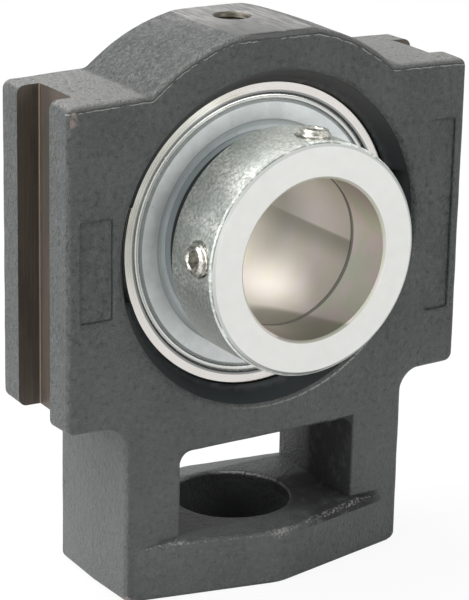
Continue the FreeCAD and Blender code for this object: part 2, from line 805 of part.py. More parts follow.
def make_collar():
    """The locking collar, with its eccentric recess and two threaded holes."""
    turning = new_body("collar_turning")
    bore = "bore_diameter / 2"
    front = "collar_front"
    back = "collar_front - collar_width"
    points = [
        (f"{bore} + ring_chamfer", f"-{front}"),
        ("collar_radius - collar_chamfer", f"-{front}"),
        ("collar_radius", f"-({front} - collar_chamfer)"),
        ("collar_radius", f"-({back} + collar_back_chamfer)"),
        ("collar_radius - collar_back_chamfer", f"-({back})"),
        (bore, f"-({back})"),
        (bore, f"-({front} - ring_chamfer)"),
    ]
    revolve(turning, "collar_profile", outline(turning, "collar_section", "XY_Plane", points))
    cut_collar_recess(turning)
    tools = [
        tool
        for name, rotation in (("left", Rotation(Vector(0, 0, 1), Vector(-1, 0, 0))), ("top", Rotation()))
        for tool in screw_hole_tools(name, rotation)
    ]
    cutter = doc.addObject("Part::MultiFuse", "collar_hole_tools")
    cutter.Shapes = tools
    collar = doc.addObject("Part::Cut", "locking_collar")
    collar.Label = "locking_collar"
    collar.Base = turning
    collar.Tool = cutter
    doc.recompute()
    turn_with_collar(collar)
    return collar


def cut_collar_recess(turning):
    """The eccentric recess in the collar's back, which takes the inner ring's spigot."""
    sketch = circle(turning, "recess_circle", "XZ_Plane", "0", "eccentricity", "spigot_radius + recess_play",
                    "inner_half_length + joint_gap")
    pocket(turning, "eccentric_recess", sketch, "collar_width")


def screw_hole_tools(name, rotation):
    """A cylinder and a cone that cut one radial hole with its countersink."""
    hole = doc.addObject("Part::Cylinder", f"{name}_hole_tool")
    bind(hole, Radius="set_screw_radius + set_screw_play", Height="2 * collar_radius")
    cone = doc.addObject("Part::Cone", f"{name}_countersink_tool")
    bind(cone, Radius1="0", Radius2="2 * countersink_radius", Height="2 * countersink_radius")
    for tool in (hole, cone):
        tool.Placement = Placement(Vector(), rotation)
        bind(tool, Placement__Base__y="set_screw_setback - collar_front")
    reach = "(collar_radius - countersink_radius)"
    way = rotation.multVec(Vector(0, 0, 1))
    bind(cone, Placement__Base__x=f"{way.x} * {reach}", Placement__Base__z=f"{way.z} * {reach}")
    return [hole, cone]


def turn_with_collar(thing):
    """Turn a piece about the shaft's axis with the collar."""
    turn = Rotation(Vector(0, 1, 0), size("collar_turn"))
    thing.Placement = Placement(Vector(), turn).multiply(thing.Placement)


def make_set_screw(name, rotation):
    """A headless set screw: bevelled ends, a hexagon socket outside and a cup inside."""
    screw = new_body(name)
    radius = "set_screw_radius"
    top = "set_screw_length"
    points = [
        ("0", "cup_depth"),
        ("cup_radius", "0"),
        (f"{radius} - set_screw_chamfer", "0"),
        (radius, "set_screw_chamfer"),
        (radius, f"{top} - set_screw_chamfer"),
        (f"{radius} - set_screw_chamfer", top),
        ("0", top),
    ]
    revolve(screw, f"{name}_turning", outline(screw, f"{name}_section", "XZ_Plane", points))
    cut_socket(screw, name)
    out = rotation.multVec(Vector(0, 0, 1))
    inner_end = "collar_radius + set_screw_stand_out - set_screw_length"
    place = out * size(inner_end) + Vector(0, size("set_screw_setback - collar_front"), 0)
    screw.Placement = Placement(place, rotation)
    turn_with_collar(screw)
    return screw


def cut_socket(screw, name):
    """The hexagon socket in the outer end."""
    across = "socket_width / sqrt(3)"
    corners = [(f"{across} * cos({60 * i} deg)", f"{across} * sin({60 * i} deg)") for i in range(6)]
    sketch = outline(screw, f"{name}_hexagon", "XY_Plane", corners, "set_screw_length - socket_depth")
    pocket(screw, f"{name}_socket", sketch, "socket_depth + 1", reverse=True)


def check_document():
    """Stop if any object of the document failed."""
    for item in doc.Objects:
        if "Invalid" in item.State or "Error" in item.State:
            sys.exit(f"{item.Label} failed: {item.State}")


def write_parts(parts):
    """Check each sub-part's shape and write it."""
    os.makedirs("parts", exist_ok=True)
    for part in parts:
        shape = part.Shape
        if shape.isNull() or not shape.isValid():
            sys.exit(f"{part.Label} has no valid shape")
        if len(shape.Solids) != 1:
            sys.exit(f"{part.Label} has {len(shape.Solids)} solids")
        shape.exportStep(f"parts/{part.Label}.step")
        print(f"{part.Label}: {shape.Volume:.1f} mm3")


def main():
    fill_sheet()
    parts = [make_housing(), make_outer_ring(), make_inner_ring(), make_cage()]
    parts += [make_ball(number) for number in range(1, int(size("ball_count")) + 1)]
    for side, sign in (("front", "-1"), ("rear", "1")):
        parts += [make_outer_washer(side, sign), make_seal_lip(side, sign), make_inner_washer(side, sign)]
    parts.append(make_collar())
    parts.append(make_set_screw("left_set_screw", Rotation(Vector(0, 0, 1), Vector(-1, 0, 0))))
    parts.append(make_set_screw("top_set_screw", Rotation()))
    doc.recompute()
    check_document()
    write_parts(parts)


main()
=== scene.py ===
# %% [markdown]
# # A take-up bearing unit under soft studio light
# The object is a cast-iron housing that slides between two rails and carries a ball bearing. All its
# pieces were built as solids before, at their real size. This lesson loads them, gives every surface
# its finish, and makes anew the few pieces whose looks live in fine shape, such as screw threads.

# %% Load the solids
import json
import math

import bmesh
import bpy
from mathutils import Matrix, Vector, noise

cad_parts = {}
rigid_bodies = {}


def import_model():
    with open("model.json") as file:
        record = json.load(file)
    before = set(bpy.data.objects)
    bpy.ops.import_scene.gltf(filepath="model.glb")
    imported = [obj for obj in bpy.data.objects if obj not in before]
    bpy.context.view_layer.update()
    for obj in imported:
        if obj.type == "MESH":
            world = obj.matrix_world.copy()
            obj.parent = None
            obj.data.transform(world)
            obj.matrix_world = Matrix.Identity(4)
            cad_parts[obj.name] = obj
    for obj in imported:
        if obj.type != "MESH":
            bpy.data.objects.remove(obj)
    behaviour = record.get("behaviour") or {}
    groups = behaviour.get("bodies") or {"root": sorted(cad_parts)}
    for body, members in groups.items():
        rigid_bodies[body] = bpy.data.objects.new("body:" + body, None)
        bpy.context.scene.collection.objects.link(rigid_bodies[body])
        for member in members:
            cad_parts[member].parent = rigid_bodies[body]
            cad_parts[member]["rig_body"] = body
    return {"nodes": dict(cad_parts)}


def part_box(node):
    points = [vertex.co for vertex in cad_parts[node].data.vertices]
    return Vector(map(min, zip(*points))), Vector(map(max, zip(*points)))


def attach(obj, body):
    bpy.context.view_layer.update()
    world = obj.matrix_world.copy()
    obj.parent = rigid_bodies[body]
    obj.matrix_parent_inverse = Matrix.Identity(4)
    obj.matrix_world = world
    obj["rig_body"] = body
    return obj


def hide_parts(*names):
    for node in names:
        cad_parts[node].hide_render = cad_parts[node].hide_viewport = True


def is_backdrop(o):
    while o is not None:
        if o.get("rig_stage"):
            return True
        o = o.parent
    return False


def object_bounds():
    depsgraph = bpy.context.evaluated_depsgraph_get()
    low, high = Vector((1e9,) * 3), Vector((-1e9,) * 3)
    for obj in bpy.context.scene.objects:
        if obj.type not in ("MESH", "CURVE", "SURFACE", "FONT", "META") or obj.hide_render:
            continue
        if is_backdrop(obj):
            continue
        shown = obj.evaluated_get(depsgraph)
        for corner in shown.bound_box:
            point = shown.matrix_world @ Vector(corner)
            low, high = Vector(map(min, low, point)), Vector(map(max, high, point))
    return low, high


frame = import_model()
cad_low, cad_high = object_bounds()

MM = 0.001
print("solids:", ", ".join(sorted(frame["nodes"])))

# %% [markdown]
# ## Sizes to work with
# Nothing here is measured twice: what a finish or a new piece has to line up with is read from the
# boxes of the solids, in millimetres. Y runs along the shaft and the collar is at -Y.

# %% Read the main sizes
def box_mm(node):
    """Lowest and highest corner of a solid, in millimetres."""
    low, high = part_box(node)
    return low / MM, high / MM


housing_low, housing_high = box_mm("housing")
PAD_TOP = housing_high.z
FOOT_END = housing_low.z
RING_RADIUS = box_mm("outer_ring")[1].z
COLLAR_FRONT = box_mm("locking_collar")[0].y
INNER_FRONT = box_mm("inner_ring")[0].y
print(f"pad at {PAD_TOP:.1f}, foot at {FOOT_END:.1f}, collar's face at {COLLAR_FRONT:.1f} mm")

# %% [markdown]
# A box doesn't tell everything. The finishes and the new pieces line up with these sizes as well.

# %% Sizes that a box doesn't tell
PLATE_FACE = 16.5
HUB_RADIUS = 53.0
SHOULDER_START = 34.4
SHOULDER_TOP = 40.3
SHOULDER_FALL = 0.031
GUIDE_FLOOR = 51.0
GUIDE_HALF = 8.0
SEAT_MOUTH = 43.0
WINDOW_HALF = 25.5
WINDOW_TOP = -50.6
WINDOW_FLOOR = -72.6
SCREW_HOLE = 15.0
GREASE_BACK = 4.2
BORE = 20.0
print(f"guides {2 * GUIDE_FLOOR:.0f} apart, window {2 * WINDOW_HALF:.0f} wide, bore {2 * BORE:.0f} mm")

# %% [markdown]
# ## The camera
# The photograph was taken from the left and a little above, with a long lens. Its place was found by
# matching corners and circles of the object, so the numbers are the real camera's: where it looks,
# from which side, how high and how far. The small roll tips the picture by about one degree.

# %% Place the camera
CAMERA_TARGET = Vector((-0.15, 0.09, -20.1)) * MM
CAMERA_DISTANCE = 628.85 * MM
CAMERA_AZIMUTH = math.radians(-32.444)
CAMERA_ELEVATION = math.radians(18.437)
CAMERA_ROLL = math.radians(1.23)
CAMERA_LENS = 150.33


def show(thing):
    """Put an object into the scene."""
    bpy.context.scene.collection.objects.link(thing)


away = Vector((
    math.sin(CAMERA_AZIMUTH) * math.cos(CAMERA_ELEVATION),
    -math.cos(CAMERA_AZIMUTH) * math.cos(CAMERA_ELEVATION),
    math.sin(CAMERA_ELEVATION),
))
camera = bpy.data.objects.new("camera", bpy.data.cameras.new("camera"))
show(camera)
camera.data.sensor_width = 36
camera.data.lens = CAMERA_LENS
camera.data.clip_start = 0.01
camera.rotation_mode = "QUATERNION"
camera.location = CAMERA_TARGET + away * CAMERA_DISTANCE
aim = (-away).to_track_quat("-Z", "Y").to_matrix() @ Matrix.Rotation(CAMERA_ROLL, 3, "Z")
camera.rotation_quaternion = aim.to_quaternion()
bpy.context.scene.camera = camera
bpy.context.scene.view_settings.view_transform = "Standard"
print("camera at", [round(value, 3) for value in camera.location])

# %% [markdown]
# ## Reckoning with shader sockets
# A finish is mostly arithmetic: a mask times a noise, one minus a mask, a distance from an axis. This
# small class wraps an output socket, so that such sums can be written as ordinary Python. Each
# operator adds one Math node.

# %% A socket that Python can reckon with
class Signal:
    """One output socket of a shader. Sums with it add Math nodes to its tree."""

    def __init__(self, finish, socket):
        self.finish = finish
        self.socket = socket

    def maths(self, operation, *values):
        return self.finish.node("ShaderNodeMath", {"operation": operation}, dict(enumerate(values)))

    def __add__(self, other):
        return self.maths("ADD", self, other)

    def __sub__(self, other):
        return self.maths("SUBTRACT", self, other)

    def __rsub__(self, other):
        return self.maths("SUBTRACT", other, self)

    def __mul__(self, other):
        return self.maths("MULTIPLY", self, other)

    def __truediv__(self, other):
        return self.maths("DIVIDE", self, other)

    def __pow__(self, other):
        return self.maths("POWER", self, other)

    def __abs__(self):
        return self.maths("ABSOLUTE", self)

    __radd__ = __add__
    __rmul__ = __mul__

    def least(self, other):
        return self.maths("MINIMUM", self, other)

    def most(self, other):
        return self.maths("MAXIMUM", self, other)

    def rise(self, start, end):
        """0 below start, 1 above end, and a smooth step between. It falls where end is the smaller."""
        if start < end:
            return self.finish.node(
                "ShaderNodeMapRange", {"interpolation_type": "SMOOTHSTEP"},
                {"Value": self, "From Min": start, "From Max": end},
            )
        return 1 - self.rise(end, start)

# %% [markdown]
# ## One method for every other node
# A finish owns a material. Its `node` method takes a node's type, the settings that have to be set
# first, and the values or links of its sockets. The rest are short words for what every finish here
# needs: the place on the object in millimetres, a mottle of a given grain size, layers and a bump.

# %% A material, put together node by node
class Finish:
    """One material. Places are in the object's own frame, so a finish turns with its piece."""

    def __init__(self, name):
        self.material = bpy.data.materials.new(name)
        self.material.use_nodes = True
        self.tree = self.material.node_tree
        self.tree.nodes.clear()
        where = self.node("ShaderNodeTexCoord", output="Object")
        self.place = self.node("ShaderNodeVectorMath", {"operation": "SCALE"},
                               {0: where, "Scale": 1 / MM}, output="Vector")
        split = self.node("ShaderNodeSeparateXYZ", inputs={0: self.place}).socket.node
        self.x, self.y, self.z = (Signal(self, socket) for socket in split.outputs)
        self.radius = (self.x * self.x + self.z * self.z) ** 0.5

    def facing(self, axis):
        """How much the surface faces along +X, +Y or +Z, from -1 to 1."""
        normal = self.node("ShaderNodeNewGeometry", output="Normal")
        split = self.node("ShaderNodeSeparateXYZ", inputs={0: normal}).socket.node
        return Signal(self, split.outputs[axis])

    def node(self, kind, settings=None, inputs=None, output=0):
        made = self.tree.nodes.new(kind)
        for name, value in (settings or {}).items():
            setattr(made, name, value)
        for name, value in (inputs or {}).items():
            if isinstance(value, Signal):
                self.tree.links.new(value.socket, made.inputs[name])
            else:
                made.inputs[name].default_value = value
        return Signal(self, made.outputs[output])

    def mottle(self, grain, detail=3.0, stretch=(1, 1, 1), roughness=0.55):
        """Cloudy noise from 0 to 1, with a grain in millimetres and a stretch along each axis."""
        scale = [1 / (grain * length) for length in stretch]
        at = self.node("ShaderNodeVectorMath", {"operation": "MULTIPLY"}, {0: self.place, 1: scale})
        return self.node("ShaderNodeTexNoise", None,
                         {"Vector": at, "Scale": 1.0, "Detail": detail, "Roughness": roughness})

    def turning(self, across, grain):
        """Fine rings round the shaft, as a lathe leaves them. They follow a distance in millimetres."""
        return self.node("ShaderNodeTexNoise", {"noise_dimensions": "1D"},
                         {"W": across / grain, "Scale": 1.0, "Detail": 2.0})

    def blend(self, mask, first, second):
        """The first colour where the mask is 0 and the second where it is 1."""
        pair = {0: mask, 6: first, 7: second}
        pair = {k: (*v, 1) if isinstance(v, tuple) else v for k, v in pair.items()}
        return self.node("ShaderNodeMix", {"data_type": "RGBA"}, pair, output=2)

    def layers(self, colour, *layers):
        """Lay pairs of a mask and a colour over it, one after the other."""
        for mask, over in layers:
            colour = self.blend(mask, colour, over)
        return colour

    def bump(self, height, depth, normal=None):
        """Lean the surface as if a height from 0 to 1 were depth millimetres tall."""
        inputs = {"Height": height, "Distance": depth * MM}
        if normal is not None:
            inputs["Normal"] = normal
        return self.node("ShaderNodeBump", None, inputs)

    def surface(self, colour, roughness, metallic=0.0, normal=None, **constants):
        """Finish with one Principled shader and hand over the material."""
        colour = (*colour, 1) if isinstance(colour, tuple) else colour
        inputs = {"Base Color": colour, "Roughness": roughness, "Metallic": metallic, **constants}
        if normal is not None:
            inputs["Normal"] = normal
        shader = self.node("ShaderNodeBsdfPrincipled", None, inputs)
        self.node_out(shader)
        return self.material

    def node_out(self, shader):
        out = self.tree.nodes.new("ShaderNodeOutputMaterial")
        self.tree.links.new(shader.socket, out.inputs["Surface"])


finishes = {}

# %% [markdown]
# ## The casting's finishes
# The housing is one casting with four finishes. Sand leaves a fine orange-peel skin, and the grey
# paint keeps it. The pad on top was ground after painting, so it is bare and scratched. The guide
# grooves were milled and oiled and have gone brown, and the seat was turned and is painted nearly
# black, partly as painted shade of its deep recess.
# An image painted by hand couldn't follow a change of size, so masks built from the place on the
# casting decide which finish shows. The one used most is a band.

# %% A band as a mask
def box_mask(across, low, high, soft=0.04):
    """1 where a signal lies between two limits."""
    return across.rise(low - soft, low + soft) * across.rise(high + soft, high - soft)


# %% [markdown]
# Paint on a casting is never one colour. A slow cloud changes it from side to side. The skin's bumps
# get a painted highlight and its hollows painted shade. The shoulders' tops are paler, partly dust
# and partly painted highlight from above, and painted light makes the paint paler low down and on the
# left side. Each is a layer with its own mask, so each can be tuned alone.

# %% Cloudy grey paint
def cloudy_paint(cast, skin, grain):
    """Grey paint over sand-cast iron, with painted highlight and painted shade."""
    wide = abs(cast.x)
    up = cast.facing("Z")
    cloud = cast.mottle(18.0).rise(0.3, 0.7)
    shoulder_dust_and_highlight = up.rise(0.5, 0.9) * cast.z.rise(30.0, 36.0) * wide.rise(35.0, 37.0)
    left_side = cast.facing("X").rise(-0.4, -0.8)
    crown = up.rise(0.3, 0.6) * cast.z.rise(36.0, 40.0) * wide.rise(36.0, 34.0)
    strokes = cast.mottle(0.9, detail=4.0, stretch=(1, 1.4, 1), roughness=0.7)
    return cast.layers(
        cast.blend(cloud, (0.06, 0.066, 0.065), (0.08, 0.085, 0.083)),
        # paler shoulder tops: partly dust, partly a painted highlight from the light above
        (shoulder_dust_and_highlight * 0.85, (0.235, 0.233, 0.224)),
        # painted highlight on the skin's bumps, then painted shade in its hollows
        (skin.rise(0.52, 0.66) * 0.55, (0.115, 0.12, 0.117)),
        (skin.rise(0.47, 0.33) * 0.75, (0.028, 0.031, 0.03)),
        (grain.rise(0.64, 0.74) * 0.5, (0.2, 0.2, 0.195)),
        # painted light: paler towards the bottom and on the faces turned to the left
        (cast.z.rise(-10.0, -80.0) * (0.25 + 0.25 * left_side), (0.14, 0.145, 0.143)),
        (strokes.rise(0.52, 0.6) * crown * 0.6, (0.022, 0.023, 0.022)),
        (strokes.rise(0.46, 0.38) * crown * 0.5, (0.19, 0.19, 0.185)),
    )


# %% [markdown]
# Little light gets into the nut window and the hole below it, so painted shade darkens both. At the
# window's right the paint has run into a thick black pool, where the painted shade is deepest, and the
# hole's rim is rubbed bright.

# %% Painted shade round the nut window
def window_painted_shade(cast, paint):
    """Lay painted shade over the window, its pool and the screw hole. The pool's mask comes back as
    well.
    """
    wide = abs(cast.x)
    window = box_mask(wide, -1.0, WINDOW_HALF + 0.4) * abs(cast.y).rise(17.2, 15.5)
    window = window * box_mask(cast.z, WINDOW_FLOOR - 0.8, WINDOW_TOP + 0.4)
    from_screw = (cast.x * cast.x + cast.y * cast.y) ** 0.5
    screw_hole = from_screw.rise(SCREW_HOLE + 0.25, SCREW_HOLE + 0.05)
    screw_hole = screw_hole * cast.z.rise(WINDOW_FLOOR - 0.08, WINDOW_FLOOR - 0.7)
    inside = wide.rise(WINDOW_HALF + 1.0, WINDOW_HALF) + cast.z.rise(WINDOW_FLOOR + 0.2, WINDOW_FLOOR)
    pool_and_shade = inside.least(1.0) * cast.x.rise(2.0, 16.0) * cast.x.rise(37.0, 31.0)
    pool_and_shade = pool_and_shade * box_mask(cast.z, WINDOW_FLOOR - 2.9, WINDOW_TOP + 0.4)
    pool_and_shade = pool_and_shade * box_mask(cast.y, -23.0, 3.0, soft=1.5)
    rim = box_mask(from_screw, SCREW_HOLE + 0.05, SCREW_HOLE + 0.5, soft=0.08) * cast.x.rise(2.0, 7.0)
    rim = rim * box_mask(cast.z, WINDOW_FLOOR - 0.8, WINDOW_FLOOR + 0.6)
    paint = cast.layers(
        paint,
        # painted shade in the window and in the screw hole
        (window * 0.62, (0.012, 0.012, 0.012)),
        (screw_hole * 0.9, (0.008, 0.009, 0.009)),
        # painted shade, deepest over the pool at the window's right
        (pool_and_shade * cast.mottle(4.0).rise(0.3, 0.48) * 0.85, (0.01, 0.01, 0.011)),
        (rim * cast.mottle(1.2).rise(0.36, 0.5) * 0.7, (0.3, 0.3, 0.29)),
    )
    return paint, pool_and_shade


# %% [markdown]
# Along the front's top outline the light on the rounded edge is painted in: a pale band and a bright,
# broken line are painted highlight, and a dark line between them is painted shade. All are bands of
# one distance, how far below the outline a place lies, and a little noise in it makes them waver. The
# rims of two trays are darkened with painted shade too.

# %% Painted highlight and shade along the outline and the trays
TRAYS = {
    "left_tray": ((-53.4, -13.2), (-44.6, 11.8)),
    "right_tray": ((46.6, -25.6), (54.0, 24.6)),
}
TRAY_RIM = 0.3


def below_top(cast):
    """How far below the top outline a place lies, seen from the front, in millimetres."""
    hub = (HUB_RADIUS - cast.radius).least(PAD_TOP - cast.z)
    shoulder = SHOULDER_TOP - (abs(cast.x) - SHOULDER_START) * SHOULDER_FALL - cast.z
    return hub.most(shoulder)


def tray_rim_shade(cast):
    """1 in a narrow band along the rims of the two shallow trays, where painted shade goes."""
    rims = 0
    for (x_low, z_low), (x_high, z_high) in TRAYS.values():
        inside = box_mask(cast.x, x_low, x_high) * box_mask(cast.z, z_low, z_high)
        floor = box_mask(cast.x, x_low + TRAY_RIM, x_high - TRAY_RIM)
        floor = floor * box_mask(cast.z, z_low + TRAY_RIM, z_high - TRAY_RIM)
        rims = inside - floor + rims
    return rims * cast.y.rise(-15.0, -15.5)


def outline_highlight_and_shade(cast, paint):
    """Lay painted shade on the trays' rims and the three painted lines over the paint."""
    front = cast.y.rise(-14.9, -15.6) * cast.z.rise(20.0, 26.0)
    inset = below_top(cast) + (cast.mottle(1.6) - 0.5) * 0.9
    # the bright, broken line: a painted highlight
    line = front * box_mask(inset, 1.62, 1.86, soft=0.08) * cast.mottle(2.6).rise(0.38, 0.52)
    return cast.layers(
        paint,
        # painted shade along the trays' rims
        (tray_rim_shade(cast) * 0.8, (0.018, 0.019, 0.019)),
        # painted highlight in a pale band next to the outline
        (front * inset.rise(1.5, 1.2) * 0.5, (0.15, 0.15, 0.145)),
        # a line of painted shade below it
        (front * box_mask(inset, 1.25, 1.55, soft=0.1) * 0.8, (0.022, 0.022, 0.022)),
        (line * 0.8, (0.36, 0.36, 0.34)),
    )


# %% [markdown]
# Where the casting was rubbed or knocked, bare iron shows in crumbs, and along the foot's ridges a
# light line is painted on their edges as a painted highlight. The mesh made further below stores two
# values at its points, and an Attribute node reads them: how sharp an outer edge is there, and how
# deep a chip.

# %% Rubbed edges, painted ridge highlight and chips
def rubbed_and_highlit_places(cast, paint):
    """Bare iron and a painted highlight on the foot's ridges, bare iron on the seat's lower edge and
    chips.
    """
    edge = cast.node("ShaderNodeAttribute", {"attribute_name": "edge"}, output="Fac")
    chip = cast.node("ShaderNodeAttribute", {"attribute_name": "chip"}, output="Fac")
    crumbs = cast.mottle(0.6, detail=2.0)
    ridge = box_mask(cast.z, -76.0, -71.0, soft=0.5) * cast.y.rise(-16.4, -17.0)
    worn_and_highlit = edge.rise(0.02, 0.3) * crumbs.rise(0.5, 0.58) * 0.8
    # a painted highlight along the ridges' sharpest edges, broken by noise
    worn_and_highlit = worn_and_highlit.most(edge.rise(0.5, 0.85) * crumbs.rise(0.36, 0.5)) * ridge
    mouth = box_mask(cast.radius, SEAT_MOUTH - 0.28, SEAT_MOUTH + 0.08, soft=0.06)
    mouth = mouth * cast.y.rise(-15.9, -16.2) * cast.z.rise(-26.0, -31.0)
    mouth = mouth * (0.35 + cast.x.rise(-12.0, 24.0) * 0.65) * cast.x.rise(-14.0, -8.0)
    rubbed_and_highlit = (worn_and_highlit + mouth * crumbs.rise(0.36, 0.5)).least(1.0)
    paint = cast.layers(
        paint,
        (rubbed_and_highlit * 0.8, (0.34, 0.335, 0.32)),
        (chip * crumbs.rise(0.3, 0.42), (0.36, 0.29, 0.26)),
    )
    return paint, rubbed_and_highlit


# %% [markdown]
# The pad was ground flat with a coarse wheel. Noise that is stretched forty times along Y makes its
# scratches, a coarser one its streaks, and pits that the wheel didn't reach stay dark. Beside the pad
# the wheel has just touched the round of the hub.

# %% The ground pad
def ground_pad(cast):
    """The pad's mask, its colour and the height of its scratches."""
    ground = cast.z.rise(PAD_TOP - 0.1, PAD_TOP - 0.04)
    beside = cast.x.rise(-27.0, -11.0) * cast.z.rise(46.0, 50.0) * cast.facing("Z").rise(0.75, 0.9)
    ground = ground.most(beside * cast.mottle(3.0, stretch=(1, 6, 1)).rise(0.42, 0.62) * 0.35)
    scratch = cast.mottle(0.3, stretch=(1, 40, 1), roughness=0.7)
    streak = cast.mottle(0.7, stretch=(1, 18, 1), roughness=0.6)
    smudge = cast.mottle(3.0, detail=5.0, stretch=(1, 2, 1), roughness=0.65)
    stained = cast.y.rise(10.0, -14.0) * cast.x.rise(14.0, -6.0)
    bare = cast.layers(
        cast.blend(scratch.rise(0.4, 0.56), (0.115, 0.114, 0.11), (0.3, 0.296, 0.286)),
        (streak.rise(0.52, 0.62) * 0.65, (0.075, 0.074, 0.071)),
        (smudge.rise(0.52, 0.66) * 0.6, (0.055, 0.054, 0.052)),
        (cast.mottle(0.55, detail=2.0).rise(0.66, 0.72) * 0.8, (0.03, 0.03, 0.028)),
        (stained * 0.8, (0.07, 0.071, 0.069)),
    )
    return ground, bare, scratch + streak * 0.8


# %% [markdown]
# The guides' grooves show long milling marks under old oil, and their corners are rubbed bright by the
# rails. The seat is turned, and its dark colour is partly painted shade of the deep recess, painted a
# little paler at its top, where light falls in. The grease hole is bare and gets light only near its
# mouth.

# %% The guides, the seat and the grease hole
def oily_guides(cast):
    """The grooves' mask, their colour and their milling marks."""
    deep, wide = abs(cast.y), abs(cast.x)
    groove = box_mask(deep, -1.0, GUIDE_HALF + 0.05) * wide.rise(GUIDE_FLOOR - 0.07, GUIDE_FLOOR - 0.03)
    milled = cast.mottle(0.5, detail=2.0, stretch=(1, 1, 60))
    corner = box_mask(deep, GUIDE_HALF - 0.28, GUIDE_HALF + 0.1)
    corner = corner * box_mask(wide, GUIDE_FLOOR - 0.1, GUIDE_FLOOR + 0.25)
    oiled = cast.layers(
        cast.blend(milled, (0.066, 0.055, 0.045), (0.13, 0.106, 0.088)),
        (cast.mottle(7.0, stretch=(1, 1, 3)).rise(0.45, 0.65) * 0.4, (0.04, 0.036, 0.03)),
        # painted shade: the grooves' floors, which face sideways, are darker
        (abs(cast.facing("X")).rise(0.5, 0.9) * 0.25, (0.02, 0.016, 0.014)),
        (corner * 0.8, (0.36, 0.29, 0.23)),
    )
    return groove, oiled, milled


def turned_seat(cast):
    """The seat's mask and its colour, which is partly painted shade."""
    bored = cast.radius.rise(42.1, 42.0) * abs(cast.y).rise(16.75, 16.65)
    # near black: partly painted shade of the deep recess
    seat = cast.blend(cast.mottle(9.0), (0.01, 0.013, 0.014), (0.022, 0.027, 0.028))
    return bored, cast.blend(cast.z.rise(14.0, 36.0), seat, (0.05, 0.05, 0.049))


def tapped_hole(cast):
    """The grease hole's mask and its colour."""
    back = cast.y - GREASE_BACK
    tapped = ((cast.x * cast.x + back * back) ** 0.5).rise(4.95, 4.9) * cast.z.rise(41.5, 41.6)
    lit = cast.z.rise(PAD_TOP - 4.5, PAD_TOP - 1.0)
    thread = cast.blend(lit, (0.01, 0.009, 0.008), (0.09, 0.082, 0.066))
    return tapped * cast.z.rise(PAD_TOP - 0.02, PAD_TOP - 0.05), thread


# %% [markdown]
# Now the finishes are laid over each other, and roughness and metal follow the same masks. The bump is
# the casting's skin. The pad's scratches are a second, much shallower bump.

# %% The housing's material
def housing_finish():
    cast = Finish("painted_casting")
    grain = cast.mottle(0.5, detail=2.0)
    skin = cast.mottle(1.5, detail=4.0, roughness=0.65)
    paint, pool_and_shade = window_painted_shade(cast, cloudy_paint(cast, skin, grain))
    paint, rubbed_and_highlit = rubbed_and_highlit_places(cast, outline_highlight_and_shade(cast, paint))
    ground, bare, scratches = ground_pad(cast)
    groove, oiled, milled = oily_guides(cast)
    bored, seat = turned_seat(cast)
    tapped, thread = tapped_hole(cast)
    colour = cast.layers(paint, (ground, bare), (groove, oiled), (bored, seat), (tapped, thread))

    machined = (ground + groove + bored + tapped).least(1.0)
    metal = (ground * 0.8 + groove * 0.25 + tapped * 0.7 + rubbed_and_highlit * 0.3).least(1.0)
    rough = (1 - machined) * (0.36 + skin * 0.22) + machined * 0.42 + bored * 0.2 + pool_and_shade * 0.3
    side = 1 - abs(cast.facing("Y"))
    peel = (grain * 0.34 + skin * 0.66) * (1 - machined) * (0.95 + side * 0.65)
    lean = cast.bump(peel + milled * groove * 0.04, 1.7)
    lean = cast.bump(scratches * ground, 0.12, lean)
    return cast.surface(colour, rough, metal, lean, **{"Specular IOR Level": 0.35})


finishes["painted_casting"] = housing_finish()
print("housing finish has", len(finishes["painted_casting"].node_tree.nodes), "nodes")

# %% [markdown]
# ## Ground bearing steel
# Rings are ground, so their faces mirror softly in fine circles. In the bore, the inner ring and the
# collar meet. The dark line between them and a painted dark reflection along the bottom run over both
# pieces, so two small functions give both finishes the same.

# %% What both bores share
JOINT_REACH = 0.65


def joint_line(steel, colour):
    """A dark line round the bore where the collar meets the inner ring."""
    joint = box_mask(steel.y, INNER_FRONT - JOINT_REACH, INNER_FRONT + JOINT_REACH)
    joint = joint * steel.radius.rise(BORE + 1.1, BORE + 0.8)
    return steel.blend(joint * 0.85, colour, (0.1, 0.105, 0.085))


def bore_floor_reflection(steel):
    """1 along the lowest part of the bore, where a dark reflection is painted. It widens towards the
    back.
    """
    return (steel.z + steel.y * 0.086).rise(-BORE - 0.2, -BORE - 0.9)


# %% [markdown]
# The outer ring's face carries one fine turned line, and its lip beside the seal is painted dark as
# painted shade of the gap at the seal. The bore is finished more roughly and is warmer in colour;
# painted shade darkens it towards the back, and a painted dark reflection crosses its right side.

# %% The rings' and balls' steel
def ring_bore(steel):
    """The colour inside the inner ring, with painted shade and a painted dark reflection."""
    # a painted dark reflection: a band across the bore's right side
    shade = steel.z.rise(-9.0, -2.6) * steel.z.rise(-1.4, -2.2) * steel.x.rise(0.0, 5.0) * 0.55
    return steel.layers(
        steel.blend(steel.mottle(7.0).rise(0.35, 0.65), (0.68, 0.65, 0.565), (0.71, 0.65, 0.63)),
        # painted shade, darker towards the back of the bore
        (steel.y.rise(-10.0, 16.0) * 0.8, (0.22, 0.205, 0.165)),
        # a painted dark reflection along the bore's bottom, joined with the band above
        (shade.most(bore_floor_reflection(steel) * 0.65), (0.2, 0.19, 0.145)),
    )


